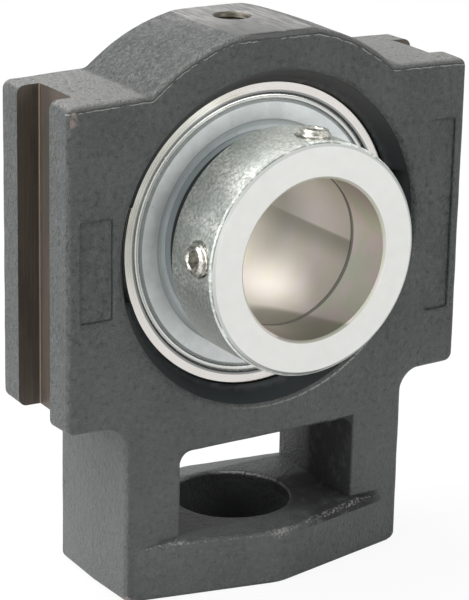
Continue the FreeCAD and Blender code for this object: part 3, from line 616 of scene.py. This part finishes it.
def ring_finish():
    steel = Finish("bearing_steel")
    line = box_mask(steel.radius, RING_RADIUS - 1.95, RING_RADIUS - 1.75)
    # painted shade on the lip beside the seal
    lip = box_mask(steel.radius, 35.3, 36.1, soft=0.15) * abs(steel.y).rise(9.8, 10.2)
    warm = steel.radius.rise(BORE + 0.4, BORE + 0.1)
    outside = box_mask(steel.radius, 24.5, 26.4)
    colour = steel.layers(
        steel.blend(steel.mottle(6.0), (0.66, 0.63, 0.6), (0.75, 0.72, 0.69)),
        (line * 0.6, (0.3, 0.29, 0.28)),
        (lip * 0.8, (0.13, 0.145, 0.15)),
        (warm, ring_bore(steel)),
    )
    colour = steel.layers(
        joint_line(steel, colour),
        (outside, (0.5, 0.545, 0.56)),
        # painted shade: black next to the collar, under its edge
        (outside * steel.y.rise(-11.5, -12.0) * 0.95, (0.02, 0.02, 0.02)),
    )
    circles = steel.turning(steel.radius, 0.16)
    along = steel.turning(steel.y, 0.16)
    lean = steel.bump(circles * (1 - warm) + along * warm, 0.006)
    rough = 0.2 + circles * 0.12 + warm * 0.34 + outside * 0.2
    return steel.surface(colour, rough, 1.0 - outside * 0.4, lean)


def ball_finish():
    ball = Finish("ball_steel")
    colour = ball.blend(ball.mottle(3.0), (0.78, 0.78, 0.78), (0.84, 0.84, 0.85))
    return ball.surface(colour, 0.08 + ball.mottle(1.0) * 0.05, 1.0)


finishes["bearing_steel"] = ring_finish()
finishes["ball_steel"] = ball_finish()
print("rings' steel has", len(finishes["bearing_steel"].node_tree.nodes), "nodes")

# %% [markdown]
# ## Zinc on pressed sheet
# The seal's outer washers are pressed from zinc-plated sheet: bluish, with a faint rolling haze. The
# rolled bead is brighter than the flat, and every narrow line is painted dark as painted shade:
# outside the bead, in the groove beside it, and where the cone begins.

# %% The washers' zinc
BEAD = (33.3, 34.0)
# Bands of painted shade in the sheet's narrow lines: lowest and highest radius, softness, strength.
PAINTED_SHADE_LINES = (
    (35.22, 36.0, 0.12, 1.0),
    (33.1, 33.7, 0.15, 0.8),
    (34.62, 34.8, 0.08, 0.7),
    (28.5, 28.95, 0.12, 0.55),
)


def sheet_finish():
    sheet = Finish("zinc_sheet")
    haze = sheet.mottle(4.0, detail=4.0)
    bead = sheet.radius.rise(*BEAD)
    painted_shade = sum(box_mask(sheet.radius, low, high, soft) * much for low, high, soft, much in PAINTED_SHADE_LINES)
    colour = sheet.layers(
        sheet.blend(haze.rise(0.35, 0.65), (0.71, 0.75, 0.745), (0.8, 0.84, 0.83)),
        (bead * 0.8, (0.62, 0.62, 0.595)),
        # painted shade in the narrow lines
        (painted_shade * 0.75, (0.07, 0.085, 0.085)),
        (sheet.radius.rise(29.6, 28.6) * 0.35, (0.9, 0.93, 0.92)),
        (sheet.mottle(0.9, detail=2.0).rise(0.72, 0.76) * 0.5, (0.2, 0.21, 0.2)),
    )
    lean = sheet.bump(haze * 0.6 + sheet.turning(sheet.radius, 0.25) * 0.4, 0.02)
    return sheet.surface(colour, 0.38 + haze * 0.16 - bead * 0.2, 0.3 + bead * 0.6, lean)


finishes["zinc_sheet"] = sheet_finish()
print(len(PAINTED_SHADE_LINES), "lines of grime on a washer")

# %% [markdown]
# ## Zinc on the collar
# The collar is turned, then plated. On its round side the plating has dried in greenish grey spots and
# clouds, and its front face is satin and almost white. Its bore is bare, with faint tints. A dark
# line runs along the bevel, where the tool turned from one cut to the next.

# %% The collar's zinc
FACE_EDGE = COLLAR_FRONT + 0.6


def spotted_side(collar, spots, clouds):
    """The colour of the collar's round side, with a painted reflection of the floor low down."""
    band = collar.mottle(14.0, detail=1.0, stretch=(1, 3, 1)).rise(0.42, 0.58)
    return collar.layers(
        collar.blend(spots.rise(0.38, 0.62), (0.4, 0.43, 0.39), (0.82, 0.84, 0.8)),
        (clouds.rise(0.45, 0.7) * 0.5, (0.5, 0.54, 0.52)),
        (collar.mottle(0.7, detail=2.0).rise(0.66, 0.74) * 0.6, (0.16, 0.17, 0.16)),
        (band * 0.38, (0.32, 0.35, 0.33)),
        # painted reflection of the floor: paler towards the bottom
        (collar.z.rise(-4.0, -18.0) * 0.5, (0.92, 0.94, 0.9)),
    )


def collar_finish():
    collar = Finish("zinc_collar")
    front = collar.y.rise(FACE_EDGE + 0.1, FACE_EDGE)
    bore = collar.radius.rise(BORE + 0.7, BORE + 0.3)
    spots = collar.mottle(0.9, detail=5.0, roughness=0.75)
    clouds = collar.mottle(6.0)
    satin = collar.blend(collar.mottle(3.0), (0.655, 0.66, 0.635), (0.725, 0.73, 0.705))
    bevel = collar.y.rise(COLLAR_FRONT + 0.02, COLLAR_FRONT + 0.06) * front
    turned = box_mask(collar.y, FACE_EDGE + 0.02, FACE_EDGE + 0.25) * (1 - bore)
    tints = collar.mottle(8.0, detail=2.0).rise(0.35, 0.65)
    inside = collar.blend(tints, (0.54, 0.56, 0.46), (0.62, 0.545, 0.545))
    # a painted dark reflection along the bore's bottom
    inside = collar.blend(bore_floor_reflection(collar) * 0.55, inside, (0.2, 0.2, 0.155))
    colour = joint_line(collar, collar.layers(
        spotted_side(collar, spots, clouds),
        (front, satin),
        # painted shade on the bevel
        (bevel * 0.6, (0.4, 0.42, 0.4)),
        (turned * clouds.rise(0.36, 0.5) * 0.7, (0.1, 0.11, 0.1)),
        (bore, inside),
    ))
    rough = (1 - front) * (1 - bore) * (0.36 + spots * 0.2) + front * 0.34 + bore * 0.4
    rings = collar.turning(collar.radius, 0.14)
    along = collar.turning(collar.y, 0.14)
    lean = collar.bump(rings * front + along * (1 - front), 0.008)
    lean = collar.bump(spots * (1 - front) * (1 - bore), 0.03, lean)
    return collar.surface(colour, rough, 1.0, lean)


finishes["zinc_collar"] = collar_finish()
print("the collar's face ends at", round(FACE_EDGE, 2), "mm")

# %% [markdown]
# ## Screw steel, rubber and nylon
# The set screws are bright rolled steel with a darker root in the thread. The seal lip is matt black
# rubber, dusted by use, and the cage is moulded nylon, the colour of ivory with a faint flow pattern.

# %% The small pieces' finishes
def screw_finish():
    screw = Finish("screw_steel")
    wear = screw.mottle(0.8)
    colour = screw.blend(wear.rise(0.35, 0.65), (0.34, 0.335, 0.3), (0.7, 0.69, 0.64))
    return screw.surface(colour, 0.28 + wear * 0.2, 1.0, screw.bump(wear, 0.006))


def rubber_finish():
    rubber = Finish("seal_rubber")
    dust = rubber.mottle(0.6)
    colour = rubber.blend(dust, (0.012, 0.012, 0.013), (0.035, 0.035, 0.034))
    return rubber.surface(colour, 0.55 + dust * 0.2, 0.0, rubber.bump(dust, 0.02))


def nylon_finish():
    nylon = Finish("cage_plastic")
    flow = nylon.mottle(5.0, stretch=(1, 3, 1))
    colour = nylon.blend(flow, (0.66, 0.6, 0.47), (0.74, 0.69, 0.56))
    return nylon.surface(colour, 0.42 + flow * 0.1, 0.0, nylon.bump(flow, 0.02))


finishes["screw_steel"] = screw_finish()
finishes["seal_rubber"] = rubber_finish()
finishes["cage_plastic"] = nylon_finish()
print("finishes:", ", ".join(finishes))

# %% [markdown]
# ## Dressing the solids
# The solids carry their record's slot names as materials. Each slot gets its finish, and the shapes
# stay as they are.

# %% Put the finishes on the solids
SLOT_OF = {
    "housing": "painted_casting", "outer_ring": "bearing_steel", "inner_ring": "bearing_steel",
    "cage": "cage_plastic", "locking_collar": "zinc_collar",
    "left_set_screw": "screw_steel", "top_set_screw": "screw_steel",
}


def slot_of(node):
    """The finish of a node, by its name."""
    if node.startswith("ball_"):
        return "ball_steel"
    if node.endswith("_washer"):
        return "zinc_sheet"
    if node.endswith("_seal_lip"):
        return "seal_rubber"
    return SLOT_OF[node]


for node, solid in frame["nodes"].items():
    for place in range(max(1, len(solid.data.materials))):
        if place >= len(solid.data.materials):
            solid.data.materials.append(None)
        solid.material_slots[place].link = "OBJECT"
        solid.material_slots[place].material = finishes[slot_of(node)]
print("dressed", len(frame["nodes"]), "solids")

# %% [markdown]
# ## The casting's skin
# A solid straight from the drawing looks too perfect for a sand casting. So the housing is copied
# and cut by evenly spaced planes into small faces, and the points of the cast surfaces are then
# pushed in and out by a smooth noise. Machined surfaces stay where they are, and the noise fades
# before it reaches them. Each point also remembers how sharp an outer edge it lies on, because paint
# rubs off there first.

# %% Cut the housing's faces into a fine grid
GRID = 2.0
GRID_SHIFT = 0.68
FINE_SIDE = 0.7


def split_wide_faces(work):
    """Make triangles of faces with more than four corners."""
    bmesh.ops.triangulate(work, faces=[face for face in work.faces if len(face.verts) > 4])


def grid_cut(work, low, high, spacing):
    """Cut a mesh by evenly spaced planes across X, Y and Z, so that no face is wider than that."""
    for axis in range(3):
        normal = Vector((0, 0, 0))
        normal[axis] = 1
        count = int((high[axis] - low[axis]) / spacing)
        for step in range(count):
            place = normal * (low[axis] + spacing * (step + GRID_SHIFT)) * MM
            everything = work.verts[:] + work.edges[:] + work.faces[:]
            bmesh.ops.bisect_plane(work, geom=everything, dist=2e-6, plane_co=place, plane_no=normal)
    split_wide_faces(work)


def is_near(place, spots):
    """Whether a place lies around one of the chipped spots."""
    return any(
        all(abs(place[axis] - spot[axis]) < reach[axis] * 1.6 for axis in range(3))
        for spot, reach, _ in spots
    )


def refine_near(work, spots, rounds=2):
    """Split the longer sides around each chipped spot once or twice more."""
    for _ in range(rounds):
        sides = []
        for side in work.edges:
            middle = (side.verts[0].co + side.verts[1].co) / 2 / MM
            if is_near(middle, spots) and side.calc_length() > FINE_SIDE * MM:
                sides.append(side)
        bmesh.ops.subdivide_edges(work, edges=sides, cuts=1)
        split_wide_faces(work)


print(f"planes every {GRID} mm, sides near chips under {FINE_SIDE} mm")

# %% [markdown]
# Two shallow trays in the front face, one beside each guide, are where a foundry casts in its marks.
# Here they stay bare. Each is cut by a block with rounded corners, before the grid is cut, so their
# rims stay crisp.

# %% A cutter for a tray
TRAY_DEPTH = 0.45
TRAY_CORNER = 1.2


def finished_mesh(name, work):
    """A mesh whose faces all look outwards, from the points and faces of a bmesh."""
    bmesh.ops.recalc_face_normals(work, faces=work.faces)
    mesh = bpy.data.meshes.new(name)
    work.to_mesh(mesh)
    work.free()
    return mesh


def rounded_plate(name, low, high, radius, steps=8):
    """A block across the plate's front face, with round corners as seen from the front."""
    shape = bmesh.new()
    corners = [
        (high[0], high[1], 0), (low[0], high[1], 90),
        (low[0], low[1], 180), (high[0], low[1], 270),
    ]
    ring = []
    for x, z, start in corners:
        middle_x = x - math.copysign(radius, x - (low[0] + high[0]) / 2)
        middle_z = z - math.copysign(radius, z - (low[1] + high[1]) / 2)
        for step in range(steps + 1):
            turn = math.radians(start + 90 * step / steps)
            ring.append((middle_x + radius * math.cos(turn), middle_z + radius * math.sin(turn)))
    front = [shape.verts.new((x * MM, (-PLATE_FACE - 2) * MM, z * MM)) for x, z in ring]
    back = [shape.verts.new((x * MM, (-PLATE_FACE + TRAY_DEPTH) * MM, z * MM)) for x, z in ring]
    shape.faces.new(front)
    shape.faces.new(back[::-1])
    for here in range(len(ring)):
        there = (here + 1) % len(ring)
        shape.faces.new((front[here], back[here], back[there], front[there]))
    return bpy.data.objects.new(name, finished_mesh(name, shape))


# %% [markdown]
# The solid itself stays untouched: a copy is cut, and only its evaluated mesh is kept.

# %% Cut the trays into the copy
def cut_trays():
    source = frame["nodes"]["housing"]
    copy = bpy.data.objects.new("housing_copy", source.data.copy())
    show(copy)
    cutters = [rounded_plate(name, *corners, TRAY_CORNER) for name, corners in TRAYS.items()]
    for cutter in cutters:
        show(cutter)
        cut = copy.modifiers.new(cutter.name, "BOOLEAN")
        cut.operation = "DIFFERENCE"
        cut.solver = "EXACT"
        cut.object = cutter
    evaluated = copy.evaluated_get(bpy.context.evaluated_depsgraph_get())
    mesh = bpy.data.meshes.new_from_object(evaluated)
    for thing in [copy, *cutters]:
        bpy.data.objects.remove(thing)
    return mesh


# %% [markdown]
# The push follows two noises: a slow one, as a pattern in rammed sand is never quite flat, and a
# quicker one for the skin. Chips are dents with a middle, a reach and a depth: two at the upper left
# corner, two at the left of the foot, and a crumbled run along the ridge below the window.

# %% How far a place is pushed
SLOW_WAVE = (9.0, 0.1)
QUICK_WAVE = (2.2, 0.035)
FADE = 1.5
CHIPS = [
    (Vector((-55.0, -16.7, 37.7)), Vector((0.8, 0.9, 0.8)), 0.5),
    (Vector((-55.5, -16.6, 35.8)), Vector((0.6, 0.9, 1.5)), 0.45),
    (Vector((-41.0, -16.6, -87.2)), Vector((1.8, 1.6, 1.6)), 0.9),
    (Vector((-41.2, -16.8, -80.5)), Vector((0.8, 0.9, 2.0)), 0.4),
]
CRUMBLED = [
    (Vector((x, -23.6 + abs(x) * 0.2, -74.2)), Vector((1.6, 1.4, 1.2)), depth)
    for x, depth in ((-9.0, 0.35), (6.0, 0.3), (13.0, 0.45), (21.0, 0.4), (28.0, 0.55), (33.0, 0.4))
]


def cast_share(place):
    """1 on cast surfaces, falling to 0 where a machined one begins. The place is in millimetres."""
    wide, deep = abs(place.x), abs(place.y)
    gaps = [PAD_TOP - place.z, place.z - FOOT_END, math.hypot(place.x, place.z) - SEAT_MOUTH]
    if wide > GUIDE_FLOOR - 2:
        gaps.append(math.hypot(max(0.0, GUIDE_FLOOR - 0.1 - wide), max(0.0, deep - GUIDE_HALF)))
    if place.z > 40:
        gaps.append(math.hypot(place.x, place.y - GREASE_BACK) - 5.0)
    share = max(0.0, min(1.0, (min(gaps) - 0.05) / FADE))
    return share * share * (3 - 2 * share)


def wave(place, length, height, seed):
    """One smooth noise in millimetres. The seed picks another part of its field."""
    return noise.noise(place / length + Vector((seed, seed * 2, seed * 3))) * height


def dent(place, chips):
    """How deep the chips reach at a place, in millimetres. Noise makes their outlines ragged."""
    deepest = 0.0
    for middle, reach, depth in chips:
        off = place - middle
        far = math.sqrt(sum((off[i] / reach[i]) ** 2 for i in range(3)))
        far += noise.noise(place * 1.4) * 0.35
        deepest = max(deepest, depth * max(0.0, 1 - far) ** 0.6)
    return deepest


def sharpness(point):
    """How sharp an outer edge a point lies on, from 0 on a flat to 1."""
    angles = [side.calc_face_angle_signed(0.0) for side in point.link_edges]
    return max(0.0, min(1.0, (math.degrees(max(angles)) - 6) / 8))


print(len(CHIPS), "chips and", len(CRUMBLED), "crumbled spots")

# %% [markdown]
# Slivers would shade badly, so points that nearly touch are joined first. All pushes are reckoned
# before the first point moves, because each one follows the surface's normal.

# %% Push the cast surfaces in and out
SLIVER = 0.02


def make_casting():
    """The housing's copy with its trays, chips and skin."""
    mesh = cut_trays()
    work = bmesh.new()
    work.from_mesh(mesh)
    bmesh.ops.remove_doubles(work, verts=work.verts, dist=0.5e-6)
    bmesh.ops.dissolve_limit(work, angle_limit=math.radians(0.4), verts=work.verts, edges=work.edges)
    grid_cut(work, housing_low, housing_high, GRID)
    refine_near(work, CHIPS + CRUMBLED)
    bmesh.ops.dissolve_degenerate(work, dist=SLIVER * MM, edges=work.edges)
    work.normal_update()
    edge = work.verts.layers.float.new("edge")
    chip = work.verts.layers.float.new("chip")
    moves = []
    for point in work.verts:
        place = point.co / MM
        share = cast_share(place)
        point[edge] = sharpness(point) * share
        deep = dent(place, CHIPS)
        point[chip] = min(1.0, deep * 2.5) * share
        push = wave(place, *SLOW_WAVE, 1) + wave(place, *QUICK_WAVE, 2)
        moves.append(point.normal * (push - deep - dent(place, CRUMBLED)) * share * MM)
    for point, move in zip(work.verts, moves):
        point.co += move
    work.to_mesh(mesh)
    work.free()
    mesh.materials.clear()
    mesh.materials.append(finishes["painted_casting"])
    return mesh


# %% [markdown]
# A new piece rides on the body that its solid belongs to.

# %% Hand a new piece over
def add_piece(name, mesh, node, smooth_below=35):
    """Show a new mesh in place of a solid, on the same body."""
    mesh.name = name
    mesh.shade_smooth()
    mesh.set_sharp_from_angle(angle=math.radians(smooth_below))
    piece = bpy.data.objects.new(name, mesh)
    show(piece)
    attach(piece, frame["nodes"][node]["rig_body"])
    return piece


casting = add_piece("casting", make_casting(), "housing")
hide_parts("housing")
print("casting:", len(casting.data.polygons), "faces")

# %% [markdown]
# Smooth shading mixes the normals round each point. On the long thin faces of the guide grooves, which
# have square corners, that mix would show as pale patches. So these faces alone are shaded flat.

# %% Shade the guide grooves flat
flat_faces = 0
for face in casting.data.polygons:
    middle = face.center / MM
    if abs(middle.x) > GUIDE_FLOOR - 0.1 and abs(middle.y) < GUIDE_HALF + 0.01:
        face.use_smooth = False
        flat_faces += 1
print("flat faces in the guides:", flat_faces)

# %% [markdown]
# ## Threads
# A thread is a cylinder whose radius goes in and out once each pitch, while the whole pattern climbs
# as it goes round. A grid of points with that radius is all it takes. The set screws are made this
# way, with the hexagon socket and the cup as more rings of the same grid.

# %% Rings of points
AROUND = 96


def ring_at(radius_at, height):
    """One ring of points about Z. The radius may change with the angle."""
    turns = [math.tau * step / AROUND for step in range(AROUND)]
    return [Vector((radius_at(t) * math.cos(t), radius_at(t) * math.sin(t), height)) for t in turns]


def thread_radius(crest, depth, pitch, height):
    """The radius round a thread with flat crests and roots, at one height."""
    def at(turn):
        phase = (height / pitch - turn / math.tau) % 1.0
        flank = (abs(phase - 0.5) * 2 - 0.15) / 0.7
        return crest - depth * max(0.0, min(1.0, flank))
    return at


def hexagon_radius(across_flats):
    """The radius round a hexagon."""
    def at(turn):
        off = (turn + math.pi / 6) % (math.pi / 3) - math.pi / 6
        return across_flats / 2 / math.cos(off)
    return at


def round_radius(radius):
    return lambda turn: radius


def skin_of_rings(name, rings, first_tip=None, last_tip=None):
    """A mesh over rings of points, closed at each end by a tip or joined end to end."""
    work = bmesh.new()
    loops = [[work.verts.new(point * MM) for point in ring] for ring in rings]
    pairs = list(zip(loops, loops[1:]))
    if first_tip is None:
        pairs.append((loops[-1], loops[0]))
    for low, high in pairs:
        for here in range(AROUND):
            there = (here + 1) % AROUND
            work.faces.new((low[here], low[there], high[there], high[here]))
    for loop, tip in ((loops[0], first_tip), (loops[-1], last_tip)):
        if tip is not None:
            middle = work.verts.new(tip * MM)
            for here in range(AROUND):
                work.faces.new((loop[here], loop[(here + 1) % AROUND], middle))
    return finished_mesh(name, work)


# %% [markdown]
# The set screws are M8 with a 1.25 mm pitch, 10 mm long, with a 4 mm socket. Each is made standing on
# Z and is then laid along its own hole: its axis runs from the shaft to the middle of its solid's
# outer end.

# %% The two set screws
SCREW_LENGTH = 10.0
SCREW_CREST = 3.94
SCREW_PITCH = 1.25
SCREW_BEVEL = 0.7
THREAD_DEPTH = 0.62
THREAD_STEPS = 12
SOCKET_WIDTH = 4.0
SOCKET_DEPTH = 4.5
SOCKET_BEVEL = (0.55, 0.35)
SOCKET_TIP = 0.8
CUP = (2.4, 1.0)


def screw_mesh(name):
    """A set screw that stands on the origin, with its socket at the top."""
    rings = []
    count = int(SCREW_LENGTH / SCREW_PITCH * THREAD_STEPS)
    for step in range(count + 1):
        height = SCREW_LENGTH * step / count
        end = min(height, SCREW_LENGTH - height)
        bevelled = SCREW_CREST - SCREW_BEVEL + min(end, SCREW_BEVEL)
        thread = thread_radius(SCREW_CREST, THREAD_DEPTH, SCREW_PITCH, height)
        rings.append(ring_at(lambda turn: min(thread(turn), bevelled), height))
    cup_radius, cup_depth = CUP
    rings.insert(0, ring_at(round_radius(cup_radius), 0.0))
    wider, deeper = SOCKET_BEVEL
    rings.append(ring_at(round_radius(SOCKET_WIDTH / 2 + wider), SCREW_LENGTH))
    hexagon = hexagon_radius(SOCKET_WIDTH)
    rings.append(ring_at(hexagon, SCREW_LENGTH - deeper))
    rings.append(ring_at(hexagon, SCREW_LENGTH - SOCKET_DEPTH))
    bottom = Vector((0, 0, SCREW_LENGTH - SOCKET_DEPTH - SOCKET_TIP))
    return skin_of_rings(name, rings, Vector((0, 0, cup_depth)), bottom)


def add_screw(node):
    """Lay a screw along its hole and let it stand for its solid."""
    low, high = box_mm(node)
    middle = (low + high) / 2
    out = Vector((middle.x, 0, middle.z)).normalized()
    mesh = screw_mesh(f"{node}_threaded")
    turn = out.to_track_quat("Z", "Y").to_matrix().to_4x4()
    start = (middle - out * SCREW_LENGTH / 2) * MM
    mesh.transform(Matrix.Translation(start) @ turn)
    mesh.materials.append(finishes["screw_steel"])
    screw = add_piece(f"{node}_threaded", mesh, node)
    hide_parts(node)
    return screw


for node in ("left_set_screw", "top_set_screw"):
    screw = add_screw(node)
    print(screw.name, "has", len(screw.data.polygons), "faces")

# %% [markdown]
# The grease hole is tapped. Its thread is a thin sleeve whose inner wall is threaded, set just inside
# the plain hole of the solid.

# %% The grease hole's thread
TAP_PITCH = 0.9
TAP_OUTER = 4.33
TAP_TOP = PAD_TOP - 0.75
TAP_LENGTH = 7.6
TAP_DEPTH = 0.42


def tapped_sleeve():
    """A sleeve with a thread inside, which fades out at the mouth."""
    rings = []
    count = int(TAP_LENGTH / TAP_PITCH * THREAD_STEPS)
    for step in range(count + 1):
        height = TAP_TOP - TAP_LENGTH + TAP_LENGTH * step / count
        fade = max(0.0, min(1.0, (TAP_TOP - height) / TAP_PITCH))
        thread = thread_radius(0.0, TAP_DEPTH, TAP_PITCH, height)
        rings.append(ring_at(lambda turn: TAP_OUTER - 0.02 + thread(turn) * fade, height))
    rings.append(ring_at(round_radius(TAP_OUTER), TAP_TOP))
    rings.append(ring_at(round_radius(TAP_OUTER), TAP_TOP - TAP_LENGTH))
    mesh = skin_of_rings("grease_thread", rings)
    mesh.transform(Matrix.Translation(Vector((0, GREASE_BACK, 0)) * MM))
    mesh.materials.append(finishes["painted_casting"])
    return mesh


sleeve = add_piece("grease_thread", tapped_sleeve(), "housing")
print("grease thread has", len(sleeve.data.polygons), "faces")

# %% [markdown]
# ## The pressed washers
# The seal's outer washers are thin sheet, pressed into a rolled bead, a narrow groove, a flat and a
# cone that dives towards the inner ring. Light slides over such soft bends, so the section is a
# smooth line of many points, turned round the shaft into rings.

# %% Turn the section of a washer
SHEET = 0.5
SEAL_RADIUS = 35.52
BEAD_DROP = 0.42
BEAD_WIDTH = 0.75
GROOVE_DEPTH = 0.42
GROOVE = (34.2, 33.45, 33.1)
FLAT_INNER = 29.1
CONE_END = 27.0
CONE_FALL = 0.8
BORDER_END = 26.25
SECTION_STEPS = 150


def soft_step(share):
    """A smooth step from 0 to 1."""
    share = max(0.0, min(1.0, share))
    return share * share * (3 - 2 * share)


def washer_height(radius):
    """How far the washer's face lies behind its highest point, in millimetres."""
    top, bottom, flat = GROOVE
    edge = BEAD_DROP * soft_step((radius - SEAL_RADIUS + BEAD_WIDTH) / BEAD_WIDTH)
    below_top_edge = soft_step((top - radius) / (top - bottom))
    groove = GROOVE_DEPTH * below_top_edge * soft_step((radius - flat) / (bottom - flat))
    cone = CONE_FALL * soft_step((FLAT_INNER - radius) / (FLAT_INNER - CONE_END))
    return edge + groove + cone


def washer_mesh(name, face, side):
    """A pressed washer whose highest face is at Y = face. Its open side is -1 or +1 along Y."""
    span = SEAL_RADIUS - BORDER_END
    radii = [BORDER_END + span * step / SECTION_STEPS for step in range(SECTION_STEPS + 1)]
    front = [(radius, washer_height(radius)) for radius in radii]
    back = [(radius, height + SHEET) for radius, height in front[::-1]]
    rings = []
    for radius, height in front + back:
        rings.append([
            Vector((point.x, face - side * height, point.y))
            for point in ring_at(round_radius(radius), 0.0)
        ])
    return skin_of_rings(name, rings)


for node, side in (("front_outer_washer", -1), ("rear_outer_washer", 1)):
    low, high = box_mm(node)
    face = low.y if side < 0 else high.y
    mesh = washer_mesh(f"{node}_pressed", face, side)
    mesh.materials.append(finishes["zinc_sheet"])
    washer = add_piece(f"{node}_pressed", mesh, node, smooth_below=60)
    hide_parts(node)
    print(washer.name, "has its face at", round(face, 2), "mm")

# %% [markdown]
# ## The floor
# The unit stands on pale paper. A camera ray that meets the floor sees mostly a plain white glow, and
# the rest is real light, so the soft shadow stays. Mirrored rays see the glow too, but not close to
# the object, where its shadow lies.

# %% The floor
FLOOR_SIZE = 6.0
SEEN_GLOW = 0.92
MIRRORED_GLOW = 0.85


def background_rays(shader):
    """Two signals: 1 for rays from the eye, and 1 for rays from a mirror or a glass."""
    path = shader.node("ShaderNodeLightPath").socket.node.outputs
    seen, mirrored, refracted = (
        Signal(shader, path[name])
        for name in ("Is Camera Ray", "Is Glossy Ray", "Is Transmission Ray")
    )
    return seen, (mirrored + refracted).least(1.0)


def floor_finish():
    floor = Finish("floor")
    paper = floor.node("ShaderNodeBsdfPrincipled", None,
                       {"Base Color": (0.8, 0.8, 0.8, 1), "Roughness": 0.9})
    glow = floor.node("ShaderNodeEmission", None, {"Color": (1, 1, 1, 1), "Strength": 1.0})
    seen, mirrored = background_rays(floor)
    away = (floor.x * floor.x + floor.y * floor.y) ** 0.5
    share = seen * SEEN_GLOW + mirrored * away.rise(15.0, 75.0) * MIRRORED_GLOW
    floor.node_out(floor.node("ShaderNodeMixShader", None, {0: share, 1: paper, 2: glow}))
    return floor.material


floor_mesh = bpy.data.meshes.new("floor")
half = FLOOR_SIZE / 2
corners = [(-half, -half, 0), (half, -half, 0), (half, half, 0), (-half, half, 0)]
floor_mesh.from_pydata(corners, [], [(0, 1, 2, 3)])
floor_mesh.materials.append(floor_finish())
floor = bpy.data.objects.new("floor", floor_mesh)
floor.location.z = FOOT_END * MM
show(floor)
floor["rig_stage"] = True
print("floor at", round(FOOT_END, 2), "mm")

# %% [markdown]
# ## Lamps and world
# The lamps are large squares, as softboxes are, because small ones would draw hard shadows. The
# strongest hangs above and behind, one stands at the left, and a weak one in front opens the bores.
# The world adds a low even light, and mirrors see it white, as they see the paper round a product.

# %% The lamps and the world
def softbox(name, place, side, power):
    """A square lamp that faces the middle of the object."""
    lamp = bpy.data.lights.new(name, "AREA")
    lamp.size = side
    lamp.energy = power
    thing = bpy.data.objects.new(name, lamp)
    thing.location = place
    thing.rotation_mode = "QUATERNION"
    thing.rotation_quaternion = (Vector(place) - CAMERA_TARGET).to_track_quat("Z", "Y")
    show(thing)


softbox("lamp_above", (-0.25, 0.55, 1.15), 1.0, 24.0)
softbox("lamp_left", (-1.2, 0.00, 0.35), 0.8, 18.5)
softbox("lamp_front", (0.6, -1.15, 0.5), 0.7, 7.5)

world = bpy.data.worlds.new("studio")
world.use_nodes = True
bpy.context.scene.world = world


class WorldFinish(Finish):
    """The world's own node tree."""

    def __init__(self, owner):
        self.tree = owner.node_tree
        self.tree.nodes.clear()


studio = WorldFinish(world)
even = studio.node("ShaderNodeBackground", None, {"Color": (0.95, 0.97, 1.0, 1), "Strength": 0.14})
white = studio.node("ShaderNodeBackground", None, {"Color": (1, 1, 1, 1), "Strength": 1.0})
seen, mirrored = background_rays(studio)
sky = studio.node("ShaderNodeMixShader", None, {0: (seen + mirrored).least(1.0), 1: even, 2: white})
world_out = studio.tree.nodes.new("ShaderNodeOutputWorld")
studio.tree.links.new(sky.socket, world_out.inputs["Surface"])

# %% [markdown]
# ## How much the size grew
# The dressed object has to fill the same box as the solids.

# %% How much the size grew
now_low, now_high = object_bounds()
growth = (now_high - now_low) - (cad_high - cad_low)
print("grown by", [round(value / MM, 2) for value in growth], "mm")
